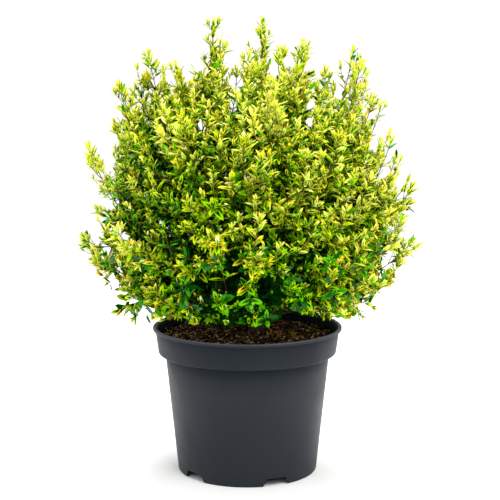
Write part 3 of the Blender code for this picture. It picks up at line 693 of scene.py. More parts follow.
def compost_finish():
    """Dark moist compost, mottled brown."""
    finish = Finish("compost_dark", linear(46, 32, 24), 0.92, Specular_IOR_Level=0.25)
    mottle = finish.ramp(
        finish.noise(420.0, detail=5.0, roughness=0.65),
        (0.32, linear(9, 7, 6)),
        (0.54, linear(30, 20, 14)),
        (0.68, linear(88, 56, 36)),
        (0.80, linear(170, 124, 80)),
    )
    finish.drive("Base Color", mottle)
    finish.bump(0.8, 0.0010, finish.noise(700.0, detail=5.0))
    return finish.material


def bark_finish():
    """Thin reddish-brown bark that flakes to a paler layer."""
    finish = Finish("flaking_bark", linear(104, 74, 50), 0.82, Specular_IOR_Level=0.3)
    flakes = finish.noise(260.0, detail=5.0, stretch=(1.0, 1.0, 0.22), roughness=0.6)
    colours = finish.ramp(
        flakes,
        (0.30, linear(38, 27, 20)),
        (0.48, linear(70, 50, 34)),
        (0.60, linear(98, 74, 52)),
        (0.75, linear(132, 106, 80)),
    )
    finish.drive("Base Color", colours)
    finish.bump(0.6, 0.0006, flakes, finish.noise(900.0, stretch=(1.0, 1.0, 0.3)))
    return finish.material


def leaf_finishes():
    """Waxy leaves, each of one plain colour; the old ones are glossy."""
    made = []
    for name, colour in LEAF_COLOURS:
        roughness, specular = LEAF_SHEENS.get(name, (0.30, 0.04))
        made.append(Finish(name, colour, roughness, Specular_IOR_Level=specular).material)
    return made


def plain_finishes(named, roughness, specular=0.06):
    return [Finish(name, colour, roughness, Specular_IOR_Level=specular).material for name, colour in named]


# Pot


def turned(profile, segments):
    """Points and faces of a closed profile of (radius, height) turned round Z."""
    points, rings = [], []
    for radius, height in profile:
        if radius == 0.0:
            rings.append([len(points)] * segments)
            points.append(Vector((0.0, 0.0, height)))
            continue
        rings.append(list(range(len(points), len(points) + segments)))
        for k in range(segments):
            angle = 2 * math.pi * k / segments
            points.append(Vector((radius * math.cos(angle), radius * math.sin(angle), height)))
    faces = []
    for upper, lower in zip(rings, rings[1:] + rings[:1]):
        for k in range(segments):
            n = (k + 1) % segments
            corners = [upper[k], lower[k], lower[n], upper[n]]
            kept = [c for i, c in enumerate(corners) if c != corners[i - 1]]
            if len(kept) > 2:
                faces.append(kept)
    return points, faces


def arc(centre, radius, start_deg, end_deg, steps):
    """Points of a rounding in the profile's plane, in the order start to end."""
    angles = [math.radians(start_deg + (end_deg - start_deg) * k / steps) for k in range(steps + 1)]
    return [(centre[0] + radius * math.cos(a), centre[1] + radius * math.sin(a)) for a in angles]


def inner_radius(height):
    """Radius of the pot's inner surface at a height."""
    step = COLLAR_BOTTOM - STEP_DROP
    if height > COLLAR_BOTTOM:
        share = (height - COLLAR_BOTTOM) / (POT_HEIGHT - COLLAR_BOTTOM)
        return COLLAR_BOTTOM_RADIUS + share * (COLLAR_TOP_RADIUS - COLLAR_BOTTOM_RADIUS) - WALL
    return FOOT_RADIUS + min(height, step) / step * (WALL_TOP_RADIUS - FOOT_RADIUS) - WALL


def pot_profile():
    """The shell's outline, down its outside, along its underside and up its inside."""
    lip_under = POT_HEIGHT - LIP_DEPTH
    step = COLLAR_BOTTOM - STEP_DROP
    lip_middle = (RIM_RADIUS - LIP_ROUNDING, POT_HEIGHT - LIP_ROUNDING)
    lip = arc(lip_middle, LIP_ROUNDING, 90, 0, 6)
    lip_foot = (RIM_RADIUS - LIP_FOOT_ROUNDING, lip_under + LIP_FOOT_ROUNDING)
    lip += arc(lip_foot, LIP_FOOT_ROUNDING, 0, -90, 3)
    collar_middle = (COLLAR_BOTTOM_RADIUS - COLLAR_ROUNDING, COLLAR_BOTTOM + COLLAR_ROUNDING)
    collar = [(COLLAR_TOP_RADIUS + CREASE, lip_under), (COLLAR_TOP_RADIUS, lip_under - CREASE)]
    collar += arc(collar_middle, COLLAR_ROUNDING, 0, -90, 5)
    collar += [(WALL_TOP_RADIUS + 2 * CREASE, step + 2 * DRAFT), (WALL_TOP_RADIUS, step - CREASE)]
    foot = arc((FOOT_RADIUS - FOOT_ROUNDING, FOOT_ROUNDING), FOOT_ROUNDING, 0, -90, 4)
    underside = [
        (FOOT_RADIUS - WALL - 2 * DRAFT, 0.0),
        (FOOT_RADIUS - WALL - DRAFT, CHANNEL_HEIGHT),
        (FLOOR_PAD_RADIUS + 2 * DRAFT, CHANNEL_HEIGHT),
        (FLOOR_PAD_RADIUS, 0.0),
        (0.0, 0.0),
    ]
    floor = CHANNEL_HEIGHT + WALL
    inside = [
        (0.0, WALL),
        (FLOOR_PAD_RADIUS - WALL, WALL),
        (FLOOR_PAD_RADIUS - WALL + 2 * DRAFT, floor),
        (inner_radius(floor), floor),
        (inner_radius(step), step + WALL),
        (COLLAR_BOTTOM_RADIUS - WALL, COLLAR_BOTTOM + WALL),
        (COLLAR_TOP_RADIUS - WALL, POT_HEIGHT - MOUTH_ROUNDING - 2 * DRAFT),
    ]
    mouth_middle = (COLLAR_TOP_RADIUS - WALL + MOUTH_ROUNDING, POT_HEIGHT - MOUTH_ROUNDING)
    mouth = arc(mouth_middle, MOUTH_ROUNDING, 180, 90, 4)
    return lip + collar + foot + underside + inside + mouth


def notch_cutter(index):
    """A radial prism, wider at the foot, that opens one drain notch."""
    turn = math.radians(FIRST_NOTCH_DEG + index * 360 / NOTCHES - 90)
    along = way_at(turn)
    across = Vector((-math.sin(turn), math.cos(turn), 0.0))
    widen = NOTCH_FOOT_WIDTH + (NOTCH_FOOT_WIDTH - NOTCH_TOP_WIDTH) * NOTCH_BELOW / NOTCH_HEIGHT
    section = (
        (-widen / 2, -NOTCH_BELOW),
        (widen / 2, -NOTCH_BELOW),
        (NOTCH_TOP_WIDTH / 2, NOTCH_HEIGHT),
        (-NOTCH_TOP_WIDTH / 2, NOTCH_HEIGHT),
    )
    points = [
        along * radius + across * side + UP * height
        for radius in (NOTCH_INNER_RADIUS, NOTCH_OUTER_RADIUS)
        for side, height in section
    ]
    faces = [(3, 2, 1, 0), (4, 5, 6, 7), (0, 1, 5, 4), (1, 2, 6, 5), (2, 3, 7, 6), (3, 0, 4, 7)]
    cutter = mesh_object(f"notch_cutter_{index + 1}", points, faces)
    face_out(cutter)
    return cutter


def build_pot():
    pot = mesh_object("pot_shell", *turned(pot_profile(), POT_SEGMENTS), finishes=[pot_finish()])
    face_out(pot)
    cutters = [notch_cutter(index) for index in range(NOTCHES)]
    for cutter in cutters:
        cut = pot.modifiers.new(cutter.name, "BOOLEAN")
        cut.operation = "DIFFERENCE"
        cut.object = cutter
    graph = bpy.context.evaluated_depsgraph_get()
    shape = bpy.data.meshes.new_from_object(pot.evaluated_get(graph))
    pot.modifiers.clear()
    pot.data = shape
    for cutter in cutters:
        bpy.data.objects.remove(cutter)
    shape.set_sharp_from_angle(angle=math.radians(POT_SMOOTH_DEG))
    dress(pot, "pot_plastic", "pot")


# Compost


def soil_height(x, y):
    """Height of the compost's uneven top at a place."""
    edge = inner_radius(SOIL_EDGE_HEIGHT)
    share = min(math.hypot(x, y) / edge, 1.0)
    height = SOIL_TOP_HEIGHT + share**2 * (SOIL_EDGE_HEIGHT - SOIL_TOP_HEIGHT)
    for size, swing in SOIL_CLODS:
        height += swing * noise.noise(Vector((x / size, y / size, size * CLOD_SHIFT)))
    return height


def build_compost():
    edge = inner_radius(SOIL_EDGE_HEIGHT) - CLEARANCE
    floor = CHANNEL_HEIGHT + WALL + CLEARANCE
    step = COLLAR_BOTTOM - STEP_DROP
    side = [
        (inner_radius(COLLAR_BOTTOM + WALL) - 2 * CLEARANCE, COLLAR_BOTTOM + WALL + 2 * CLEARANCE),
        (inner_radius(step) - 2 * CLEARANCE, step + WALL + CLEARANCE),
        (inner_radius(floor) - 2 * CLEARANCE, floor),
        (0.0, floor),
    ]
    top = [(edge * k / SOIL_RINGS, SOIL_TOP_HEIGHT) for k in range(SOIL_RINGS + 1)]
    points, faces = turned(top + side, SOIL_SEGMENTS)
    for point in points:
        if point.z >= SOIL_TOP_HEIGHT:
            point.z = soil_height(point.x, point.y)
    bed = mesh_object("compost_bed", points, faces, finishes=[compost_finish()])
    face_out(bed)
    dress(bed, "compost", "compost")


CRUMB_COLOURS = (
    ("crumb_black", linear(20, 13, 10)),
    ("crumb_dark", linear(48, 30, 20)),
    ("crumb_brown", linear(118, 74, 44)),
    ("crumb_rust", linear(146, 86, 48)),
    ("crumb_tan", linear(238, 190, 128)),
    ("crumb_straw", linear(255, 238, 190)),
)
CRUMB_SHARES = (27, 26, 16, 10, 13, 8)


def soil_place(rng, reach=1.0):
    radius = inner_radius(SOIL_EDGE_HEIGHT) * reach * math.sqrt(rng.random())
    turn = rng.uniform(0, 2 * math.pi)
    x, y = radius * math.cos(turn), radius * math.sin(turn)
    return Vector((x, y, soil_height(x, y)))


def build_crumbs():
    """Loose crumbs of bark, peat and perlite on the compost, each an uneven eight-sided lump."""
    rng = random.Random(SEED + 1)
    ways = [Vector(w) for w in ((1, 0, 0), (0, 1, 0), (-1, 0, 0), (0, -1, 0), (0, 0, 1), (0, 0, -1))]
    faces = [(0, 1, 4), (1, 2, 4), (2, 3, 4), (3, 0, 4), (1, 0, 5), (2, 1, 5), (3, 2, 5), (0, 3, 5)]
    crumbs = Bits()
    for _ in range(CRUMBS):
        middle = soil_place(rng, CRUMB_REACH)
        size = CRUMB_SIZE + CRUMB_GROWTH * rng.random() ** CRUMB_RARITY
        kind = rng.choices(range(len(CRUMB_COLOURS)), CRUMB_SHARES)[0]
        if kind == len(CRUMB_COLOURS) - 1:
            size *= STRAW_SIZE
        turn = random_way(rng).to_track_quat("Z", "Y")
        longer = Vector((1.0, rng.uniform(*CRUMB_BREADTHS), rng.uniform(*CRUMB_HEIGHTS)))
        points = []
        for way in ways:
            lump = Vector(a * b for a, b in zip(way, longer)) * size * rng.uniform(*CRUMB_BUMPS)
            points.append(middle + UP * size * CRUMB_LIFT + turn @ lump)
        crumbs.add(points, faces, [kind] * len(faces))
    dress(crumbs.piece("compost_crumbs", plain_finishes(CRUMB_COLOURS, roughness=0.9)), "compost")


LITTER_COLOURS = (
    ("litter_olive", linear(188, 190, 52)),
    ("litter_gold", linear(244, 208, 72)),
    ("litter_orange", linear(228, 134, 52)),
    ("litter_brown", linear(122, 78, 44)),
)


def build_litter():
    """Small fallen leaves, half of them in one patch, each a folded lens of four faces."""
    rng = random.Random(SEED + 5)
    litter = Bits()
    for index in range(LITTER):
        place = soil_place(rng, LITTER_REACH)
        if index % 2:
            place = LITTER_PATCH + soil_place(rng, LITTER_SPREAD)
        length = rng.uniform(*LITTER_LENGTHS)
        turn = rng.uniform(0, 2 * math.pi)
        aim = way_at(turn) + UP * rng.uniform(*LITTER_RISES)
        across = Vector((-math.sin(turn), math.cos(turn), rng.uniform(*LITTER_TILTS)))
        side = across * LITTER_HALF_WIDTH * length
        root = Vector((place.x, place.y, soil_height(place.x, place.y) + LITTER_LIFT))
        middle = root + aim * length / 2
        lift = UP * LITTER_FOLD * length
        points = [root, middle + side + lift, middle - lift, middle - side + lift, root + aim * length]
        kind = rng.randrange(len(LITTER_COLOURS))
        litter.add(points, [(0, 2, 1), (0, 3, 2), (1, 2, 4), (2, 3, 4)], [kind] * 4)
    dress(litter.piece("fallen_leaves", plain_finishes(LITTER_COLOURS, roughness=0.6)), "variegated_leaves")


def strand_arrays(line, half):
    """Points and triangles of a thin three-sided strand along a line."""
    points = []
    for k, centre in enumerate(line):
        ahead = (line[min(k + 1, len(line) - 1)] - line[max(k - 1, 0)]).normalized()
        side = ahead.cross(UP).normalized()
        above = side.cross(ahead)
        slim = half * (STRAND_END if k in (0, len(line) - 1) else 1.0)
        points += [centre + side * slim, centre - side * slim, centre + above * slim * STRAND_HEIGHT]
    return points, wall_triangles(len(line), 3)


def build_fibres():
    """Coir and straw fibres that lie on the compost."""
    rng = random.Random(SEED + 2)
    colours = CRUMB_COLOURS[2:]
    fibres = Bits()
    for _ in range(FIBRES):
        place = soil_place(rng, FIBRE_REACH)
        turn = rng.uniform(0, 2 * math.pi)
        length = rng.uniform(*FIBRE_LENGTHS)
        bend = rng.uniform(-FIBRE_BEND, FIBRE_BEND)
        line = []
        for _ in range(FIBRE_STEPS + 1):
            height = soil_height(place.x, place.y) + FIBRE_LIFT + FIBRE_RIPPLE * rng.random()
            line.append(Vector((place.x, place.y, height)))
            turn += bend / FIBRE_STEPS
            place = place + way_at(turn) * length / FIBRE_STEPS
            if math.hypot(place.x, place.y) > inner_radius(SOIL_EDGE_HEIGHT) - FIBRE_EDGE:
                break
        if len(line) > 2:
            points, triangles = strand_arrays(line, rng.uniform(*FIBRE_HALVES))
            fibres.add(points, triangles, [rng.randrange(len(colours))] * len(triangles))
    dress(fibres.piece("compost_fibres", plain_finishes(colours, roughness=0.85)), "compost")


# Growth rule of the solids


def crown_reach(direction, share=1.0):
    """Distance from the crown's centre to a share of the globe's surface, or to its floor."""
    across = math.hypot(direction.x, direction.y) / CROWN_HALF_WIDTH
    along = direction.z / (CROWN_RISE if direction.z > 0 else CROWN_DROP)
    reach = share / math.hypot(across, along)
    if direction.z < 0:
        reach = min(reach, (CROWN_CENTRE.z - CROWN_FLOOR) / -direction.z)
    return reach


def in_crown(point, share):
    away = point - CROWN_CENTRE
    return away.length <= crown_reach(away.normalized(), share)


def outward_and_up(tip, lift):
    """The way out of the crown at a tip, turned up."""
    return ((tip - CROWN_CENTRE).normalized() + UP * lift).normalized()


def bough_end(name):
    """How far along its axis a bough ends and the stem of its mass begins."""
    return BOUGH_LENGTH[name.split("_")[0]]


def bezier(a, b, c, share):
    return a.lerp(b, share).lerp(b.lerp(c, share), share)


def bough_axes():
    """Middle line of each bough and of the stem that carries on from it, by name."""
    axes = {}
    for ring, (count, first_deg, rise_deg, share, height, offset) in BOUGH_RINGS.items():
        for k in range(count):
            turn = math.radians(first_deg + 360 * k / count)
            out = way_at(turn)
            level = (height - TRUNK_FOOT.z) / (TRUNK_FORK.z - TRUNK_FOOT.z)
            start = TRUNK_FOOT.lerp(TRUNK_FORK, level) + out * offset
            rise = math.radians(rise_deg)
            aim = out * math.cos(rise) + UP * math.sin(rise)
            end = start + aim * 2 * CROWN_HALF_WIDTH
            while not in_crown(end, share):
                end = end - aim * RAY_STEP
            across = Vector((end.x - start.x, end.y - start.y, 0.0))
            bend = start + across * BOUGH_BEND_ACROSS + UP * (end.z - start.z) * BOUGH_BEND_UP
            axes[f"{ring}_{k + 1}"] = [
                bezier(start, bend, end, step / AXIS_STEPS) for step in range(AXIS_STEPS + 1)
            ]
    return axes


def lengths_along(line):
    total, along = 0.0, [0.0]
    for a, b in zip(line, line[1:]):
        total += (b - a).length
        along.append(total)
    return along


def point_along(line, distance):
    """Point and unit direction at a distance along a line of points."""
    along = lengths_along(line)
    k = 0
    while k < len(line) - 2 and distance > along[k + 1]:
        k += 1
    step = along[k + 1] - along[k]
    direction = (line[k + 1] - line[k]).normalized()
    return line[k] + direction * min(max(distance - along[k], 0.0), step), direction


def stretch(line, start, end, count):
    """count points evenly along part of a line."""
    return [point_along(line, start + (end - start) * k / (count - 1))[0] for k in range(count)]


def cloud(lines):
    """Search tree of points closely spaced along some lines, and which line each is on."""
    points, owners = [], []
    for index, line in enumerate(lines):
        length = lengths_along(line)[-1]
        spaced = stretch(line, 0.0, length, max(2, math.ceil(length / SAMPLE_SPACING)))
        points += spaced
        owners += [index] * len(spaced)
    tree = kdtree.KDTree(len(points))
    for index, point in enumerate(points):
        tree.insert(point, index)
    tree.balance()
    return tree, owners


def spiral_ways(count, lowest_deg, highest_deg=90.0):
    """Unit directions spread evenly over a band of a sphere, from its highest angle down."""
    lowest, highest = (math.sin(math.radians(angle)) for angle in (lowest_deg, highest_deg))
    heights = [highest - (highest - lowest) * (k + 0.5) / count for k in range(count)]
    return [way_at(k * GOLDEN_ANGLE, z) for k, z in enumerate(heights)]


def fill_tips():
    """Tips of the solids' shoots between the leaders, on a seeded spiral that covers the globe."""
    rng = random.Random(SEED)
    ways = spiral_ways(FILL_SHOOTS, FILL_LOWEST_DEG)
    return [CROWN_CENTRE + way * crown_reach(way, rng.uniform(*FILL_SHARES)) for way in ways]


def twig_root(stem, tip):
    """The place on a stem where a shoot to a tip leaves it at the most natural angle."""
    def cost(k):
        away = tip - stem[k]
        lean = away.normalized().dot((stem[k + 1] - stem[k]).normalized())
        return away.length * (1 + LEAN_COST * (lean - BEST_LEAN) ** 2)

    return stem[min(range(1, len(stem) - 1), key=cost)]


def by_height(tip, low, high):
    """A value between one for the bottom of the crown and one for its middle and above."""
    share = (tip.z - CROWN_FLOOR) / (CROWN_CENTRE.z - CROWN_FLOOR)
    return low + (high - low) * clamp(share)


def shoot_line(root, tip, heading, curve=SHOOT_CURVE, steps=LINE_POINTS - 1):
    """A curved line that reaches its tip with a heading, and keeps above the leaves' floor."""
    bend = tip - heading * curve * (tip - root).length
    bend.z = max(bend.z, leaf_floor(bend))
    return [bezier(root, bend, tip, step / steps) for step in range(steps + 1)]


def leader_line(stem, tip):
    """A tall shoot's line, which rises steeply from the highest place on the stem that lets it."""
    heading = outward_and_up(tip, by_height(tip, *LEADER_LIFTS))
    if tip.z < LOW_LEADER:
        return shoot_line(twig_root(stem, tip), tip, heading, TWIG_CURVE)
    high = min((tip.z - CROWN_FLOOR) / (CROWN_CENTRE.z + CROWN_RISE / 2 - CROWN_FLOOR), 1.0)
    steep = [point for point in stem if (tip - point).normalized().z >= LEADER_STEEPNESS * high]
    root = steep[-1] if steep else stem[0]
    return shoot_line(root, tip, heading, LEADER_CURVE, 2 * LINE_POINTS)


# Finer growth


class Shoot:
    """A leafy shoot: its line from root to tip, its kind, and its share of yellow."""

    def __init__(self, line, kind, gold):
        self.line = line
        self.kind = kind
        self.grows = KINDS[kind]
        self.gold = gold
        self.length = lengths_along(line)[-1]


def leaf_floor(point):
    """Lowest height of leaves at a place: uneven, higher towards the rim and in one hollow."""
    rise = UNDER_SLOPE * max(0.0, math.hypot(point.x, point.y) - UNDER_SLOPE_START)
    if abs(point.x) > UNDER_SIDE:
        rise = UNDER_SIDE_RISE
    uneven = UNDER_SWING * noise.noise(Vector((point.x, point.y, 0.0)) / UNDER_SWING_SIZE)
    away = math.hypot(point.x - HOLLOW.x, point.y - HOLLOW.y) / HOLLOW_RADIUS
    return LEAF_FLOOR + rise + uneven + HOLLOW_RISE * max(0.0, 1 - away**2)


def in_opening(point):
    """Whether a point lies in an opening, which runs through the crown along the front view."""
    nearer = (point.y + CAMERA_DISTANCE) / CAMERA_DISTANCE
    for across, up, radius in OPENINGS:
        height = CAMERA_HEIGHT + (up - CAMERA_HEIGHT) * nearer
        if math.hypot(point.x - across * nearer, point.z - height) < radius:
            return True
    return False


def any_in_opening(points):
    return any(in_opening(point) for point in points)


def front_place(across, up, share):
    """The place on the crown's front that the front view sees at a spot of the axis plane."""
    place = Vector((across, 0.0, up))
    for _ in range(PLACE_STEPS):
        nearer = (place.y + CAMERA_DISTANCE) / CAMERA_DISTANCE
        place.x = across * nearer
        place.z = CAMERA_HEIGHT + (up - CAMERA_HEIGHT) * nearer
        away = place - CROWN_CENTRE
        reach = crown_reach(away.normalized(), share)
        place.y = -math.sqrt(max(reach**2 - away.x**2 - away.z**2, 0.0))
    return place


def share_of_reach(point):
    away = point - CROWN_CENTRE
    return away.length / crown_reach(away.normalized())


def risen(place):
    """Share of the rise over which the leaves turn from green to yellow."""
    height = (place.z - CROWN_FLOOR) / (CROWN_CENTRE.z + CROWN_RISE - CROWN_FLOOR)
    return clamp(height / GOLD_FULL_HEIGHT)


def goldness(tip, rng):
    """How yellow a shoot is: more at the top, in drifts, and unlike its neighbours."""
    share = risen(tip)
    level = GOLD_LOW + (GOLD_HIGH - GOLD_LOW) * share**2 * (3 - 2 * share)
    across = min(max(tip.x / CROWN_HALF_WIDTH, -1.0), 1.0)
    aside = GOLD_ASIDE * min(across, GOLD_MOST_ASIDE) + GOLD_LOW_SIDES * across**2 * (1 - share)
    ripple = noise.noise(tip * RIPPLES_PER_METRE)
    # Drifts, partly painted shade and painted light on parts of the crown.
    for middle, up, reach, change in GOLD_DRIFTS:
        away = math.hypot(tip.x - middle, tip.z - up) / reach
        level += change * max(0.0, 1 - away**2)
    # Partly painted shade: shoots deeper inside the crown turn greener and darker.
    depth = max(0.0, GOLD_DEPTH_START - share_of_reach(tip))
    return level + aside + GOLD_RIPPLE * ripple + rng.gauss(0.0, GOLD_SPREAD) - GREENER_BY_DEPTH * depth


def leader_gold(tip, rng):
    return max(goldness(tip, rng) + LEADER_GOLD, LEAST_LEADER_GOLD * risen(tip))


def grow(axes):
    """All shoots by mass: those of the solids, and finer ones that branch from them."""
    shades = random.Random(SEED + 3)
    stems = {}
    for name, axis in axes.items():
        stems[name] = stretch(axis, bough_end(name) + CLEARANCE, lengths_along(axis)[-1], STEM_RINGS)
    own = {name: cloud([axis])[0] for name, axis in axes.items()}
    shoots = {name: [] for name in axes}

    def mass_at(tip):
        return min(axes, key=lambda name: own[name].find(tip)[2])

    def add_leader(tip, gold):
        name = mass_at(tip)
        shoots[name].append(Shoot(leader_line(stems[name], tip), "leader", gold))

    for tip in map(Vector, LEADER_TIPS):
        add_leader(tip, leader_gold(tip, shades))
    for tip in fill_tips():
        name, gold = mass_at(tip), goldness(tip, shades)
        heading = outward_and_up(tip, by_height(tip, *LEADER_LIFTS))
        line = shoot_line(twig_root(stems[name], tip), tip, heading, TWIG_CURVE)
        if not any_in_opening(line[LINE_POINTS // 2:]):
            shoots[name].append(Shoot(line, "outer", gold))
    for tip in map(Vector, PLUME_TIPS):
        add_leader(tip, leader_gold(tip, shades))
    for across, up in FRONT_SPRAYS:
        tip = front_place(across, up, FRONT_SHARE)
        add_leader(tip, goldness(tip, shades) + FRONT_GOLD)
    branch_out(axes, shoots, stems, shades)
    for grown in shoots.values():
        for leader in [shoot for shoot in grown if shoot.kind == "leader"]:
            grown += companions(leader, shades)
    return shoots


def companions(leader, rng):
    """Side shoots that rise close round the end of a tall one, so that it stands as a plume."""
    made = []
    turn = rng.uniform(0, 2 * math.pi)
    for _ in range(FRONT_COMPANIONS if leader.line[-1].y < FRONT_BEFORE else COMPANIONS):
        turn += GOLDEN_ANGLE
        out = way_at(turn)
        down = rng.uniform(*COMPANION_DROP)
        place, ahead = point_along(leader.line, leader.length - down)
        tip = place + out * rng.uniform(*COMPANION_ASIDE) * (0.5 + down / COMPANION_DROP[1])
        root, _ = point_along(leader.line, leader.length - down - rng.uniform(*COMPANION_REACH))
        heading = (ahead + out * COMPANION_OUT + UP * COMPANION_LIFT).normalized()
        line = shoot_line(root, tip, heading)
        if not any_in_opening(line[LINE_POINTS // 2:]):
            made.append(Shoot(line, "side", leader.gold + COMPANION_GOLD))
    return made


def branch_out(axes, shoots, stems, rng):
    """Adds the finer layers, each shoot on the nearest line of the first shoots or stems."""
    parents = []
    for name in axes:
        parents.append((name, stretch(stems[name], 0.0, lengths_along(stems[name])[-1], PARENT_POINTS)))
        parents += [(name, stretch(shoot.line, 0.0, shoot.length, PARENT_POINTS)) for shoot in shoots[name]]
    tree, owners = cloud([line for _, line in parents])
    for layer, count, lowest_deg, shares, reach in LAYERS:
        for direction in spiral_ways(count, lowest_deg):
            way = (direction + random_way(rng) * LAYER_STRAY).normalized()
            if layer in ("inner", "core") and rng.random() < TOP_OPENING * (way.z - TOP_OPENING_START):
                continue
            dip = 1 - TOP_DIP * max(way.z, 0.0)
            tip = CROWN_CENTRE + way * crown_reach(way, rng.uniform(*shares) * dip)
            tip.z = max(tip.z, leaf_floor(tip) + LAYER_ABOVE_FLOOR)
            lift = by_height(tip, rng.uniform(*UPRIGHT_LOW), rng.uniform(*UPRIGHT_HIGH))
            heading = (way + UP * lift + random_way(rng) * HEADING_STRAY).normalized()
            below = tip - heading * rng.uniform(*reach)
            root, index, _ = tree.find(below.lerp(CROWN_CENTRE, ROOT_INWARD))
            line = shoot_line(root, tip, heading)
            if not any_in_opening(line[2:]):
                shoots[parents[owners[index]][0]].append(Shoot(line, layer, goldness(tip, rng)))
    for direction in spiral_ways(OLD_ROSETTES, *OLD_ANGLES_DEG):
        way = (direction + random_way(rng) * OLD_STRAY).normalized()
        tip = CROWN_CENTRE + way * crown_reach(way, rng.uniform(*OLD_SHARES))
        tip.z = max(tip.z, leaf_floor(tip) + OLD_ABOVE_FLOOR)
        heading = (way + UP * rng.uniform(*OLD_LIFTS)).normalized()
        root, index, _ = tree.find(tip - heading * rng.uniform(*OLD_REACH))
        old = Shoot(shoot_line(root, tip, heading), "old", goldness(tip, rng))
        shoots[parents[owners[index]][0]].append(old)


# Leaves

POCKET_BALLS = [(front_place(across, up, POCKET_SHARE), radius) for across, up, radius in POCKETS]


def leaf_colours(shoot, pair, rng):
    """Colour numbers of a leaf's centre and margin, paler towards the tip of the shoot."""
    value = shoot.gold + TIP_GOLD - shoot.grows.darker * pair + rng.gauss(0.0, COLOUR_SPREAD)
    centre = round(clamp(value - CENTRE_DARKER) * PALEST)
    margin = round(clamp(value + MARGIN_PALER) * PALEST)
    if shoot.kind == "old" and pair > 1:
        return GLOSSY, rng.choice(OLD_MARGINS)
    if value < PLAIN_BELOW or rng.random() < PLAIN_CHANCE:
        margin = centre
    elif pair < RARE_PAIRS and rng.random() < RARE_MARGINS:
        # Cream margins are partly painted highlight.
        margin = rng.choice((AMBER, CREAM_AND_HIGHLIGHT))
    return centre, margin


def sideways(ahead, reference):
    side = ahead.cross(reference)
    side = (side if side.length > LEAST_SIDE else ahead.cross(SIDE_AIM)).normalized()
    return side, ahead.cross(side)


class Foliage:
    """Leaves and twigs of one mass. A leaf is a root, three directions, sizes and two colours."""

    def __init__(self, rng):
        self.rng = rng
        self.leaves = []
        self.colours = []
        self.twigs = []

    def clothe(self, shoot):
        """Crossed pairs of leaves down a shoot from its tip, with tufts and sprigs in some axils."""
        rng, grows = self.rng, shoot.grows
        low = clamp((BROAD_BELOW - shoot.line[-1].z) / BROAD_RANGE)
        ratio = NARROW_RATIO + (BROAD_RATIO - NARROW_RATIO) * low
        reference = random_way(rng)
        turn = rng.uniform(0.0, 2 * math.pi)
        at = wood_end = shoot.length - TIP_LEAF * grows.size
        scale = grows.size * (1 + BROAD_GROWTH * low)
        for pair in range(grows.pairs):
            if at < BARE_SHARE * shoot.length:
                break
            size, spread_deg, gap = grows.leaves[min(pair, len(grows.leaves) - 1)]
            centre, ahead = point_along(shoot.line, at)
            side, other = sideways(ahead, reference)
            for half_turn in (0.0, math.pi):
                azimuth = turn + half_turn + rng.gauss(0.0, PAIR_STRAY)
                outward = side * math.cos(azimuth) + other * math.sin(azimuth)
                spread = math.radians(spread_deg + rng.gauss(0.0, SPREAD_STRAY_DEG))
                length = size * scale * rng.uniform(*LEAF_SIZES)
                self.add_leaf(shoot, pair, centre, ahead, outward, spread, length, ratio)
                if pair >= AXIL_FIRST_PAIR:
                    self.add_side_growth(shoot, pair, centre, ahead, outward)
            turn += math.pi / 2 + rng.gauss(0.0, CROSS_STRAY)
            at -= gap * grows.gap * rng.uniform(*GAP_SIZES)
        self.twigs.append((shoot, wood_end))

    def add_side_growth(self, shoot, pair, root, ahead, outward):
        """A sprig or a tuft of small leaves in a leaf's axil, or nothing."""
        rng = self.rng
        if rng.random() < shoot.grows.sprig:
            kind = "sprig"
            length = min(SPRIG_LENGTH + SPRIG_GROWTH * pair, LONGEST_SPRIG) * rng.uniform(*SPRIG_SIZES)
        elif rng.random() < shoot.grows.tuft:
            kind = "tuft"
            length = rng.uniform(*TUFT_LENGTHS)
        else:
            return
        line = sprig_line(root, ahead, outward, length)
        self.clothe(Shoot(line, kind, shoot.gold + SPRIG_GOLD - SPRIG_GREENER * pair))

    def add_leaf(self, shoot, pair, root, ahead, outward, spread, length, ratio):
        """One leaf turned to the light, unless its place is kept clear."""
        rng = self.rng
        aim = ahead * math.cos(spread) + outward * math.sin(spread)
        above = ahead * math.sin(spread) - outward * math.cos(spread)
        lit = above + UP * LIGHT_PULL + random_way(rng) * LEAF_STRAY
        above = (lit - aim * lit.dot(aim)).normalized()
        end = root + aim * length
        if end.z < (LEAF_FLOOR if shoot.kind == "leader" else leaf_floor(end)):
            return
        if in_opening(end) or in_opening((root + end) / 2):
            return
        if any((end - middle).length < radius for middle, radius in POCKET_BALLS):
            return
        self.colours.append(leaf_colours(shoot, pair, rng))
        curl = rng.uniform(*CURLS)
        half = length * ratio * rng.uniform(*LEAF_WIDTHS)
        self.leaves.append((*root, *aim, *aim.cross(above), *above, length, half, curl))

    def arrays(self):
        """Points, triangles and colour numbers of all leaves, two-coloured ones in more faces."""
        rows = np.array(self.leaves)
        colours = np.array(self.colours)
        two = colours[:, 0] != colours[:, 1]
        edged = leaf_arrays(rows[two], range(len(LEAF_POINTS)), CENTRE_FACES + MARGIN_FACES)
        plain = leaf_arrays(rows[~two], PLAIN_KEPT, PLAIN_FACES)
        kinds = np.concatenate([
            np.repeat(colours[two], (len(CENTRE_FACES), len(MARGIN_FACES)), axis=1).ravel(),
            np.repeat(colours[~two, 0], len(PLAIN_FACES)),
        ])
        points = np.concatenate([edged[0], plain[0]])
        triangles = np.concatenate([edged[1], plain[1] + len(edged[0])])
        return points, triangles, kinds


def sprig_line(root, ahead, outward, length):
    """A short side shoot in a leaf's axil, which bends back to the way of its parent."""
    bend = root + (ahead + outward).normalized() * length / 2
    tip = bend + (ahead + outward * SPRIG_OUT + UP * SPRIG_LIFT).normalized() * length / 2
    return [bezier(root, bend, tip, step / SPRIG_STEPS) for step in range(SPRIG_STEPS + 1)]


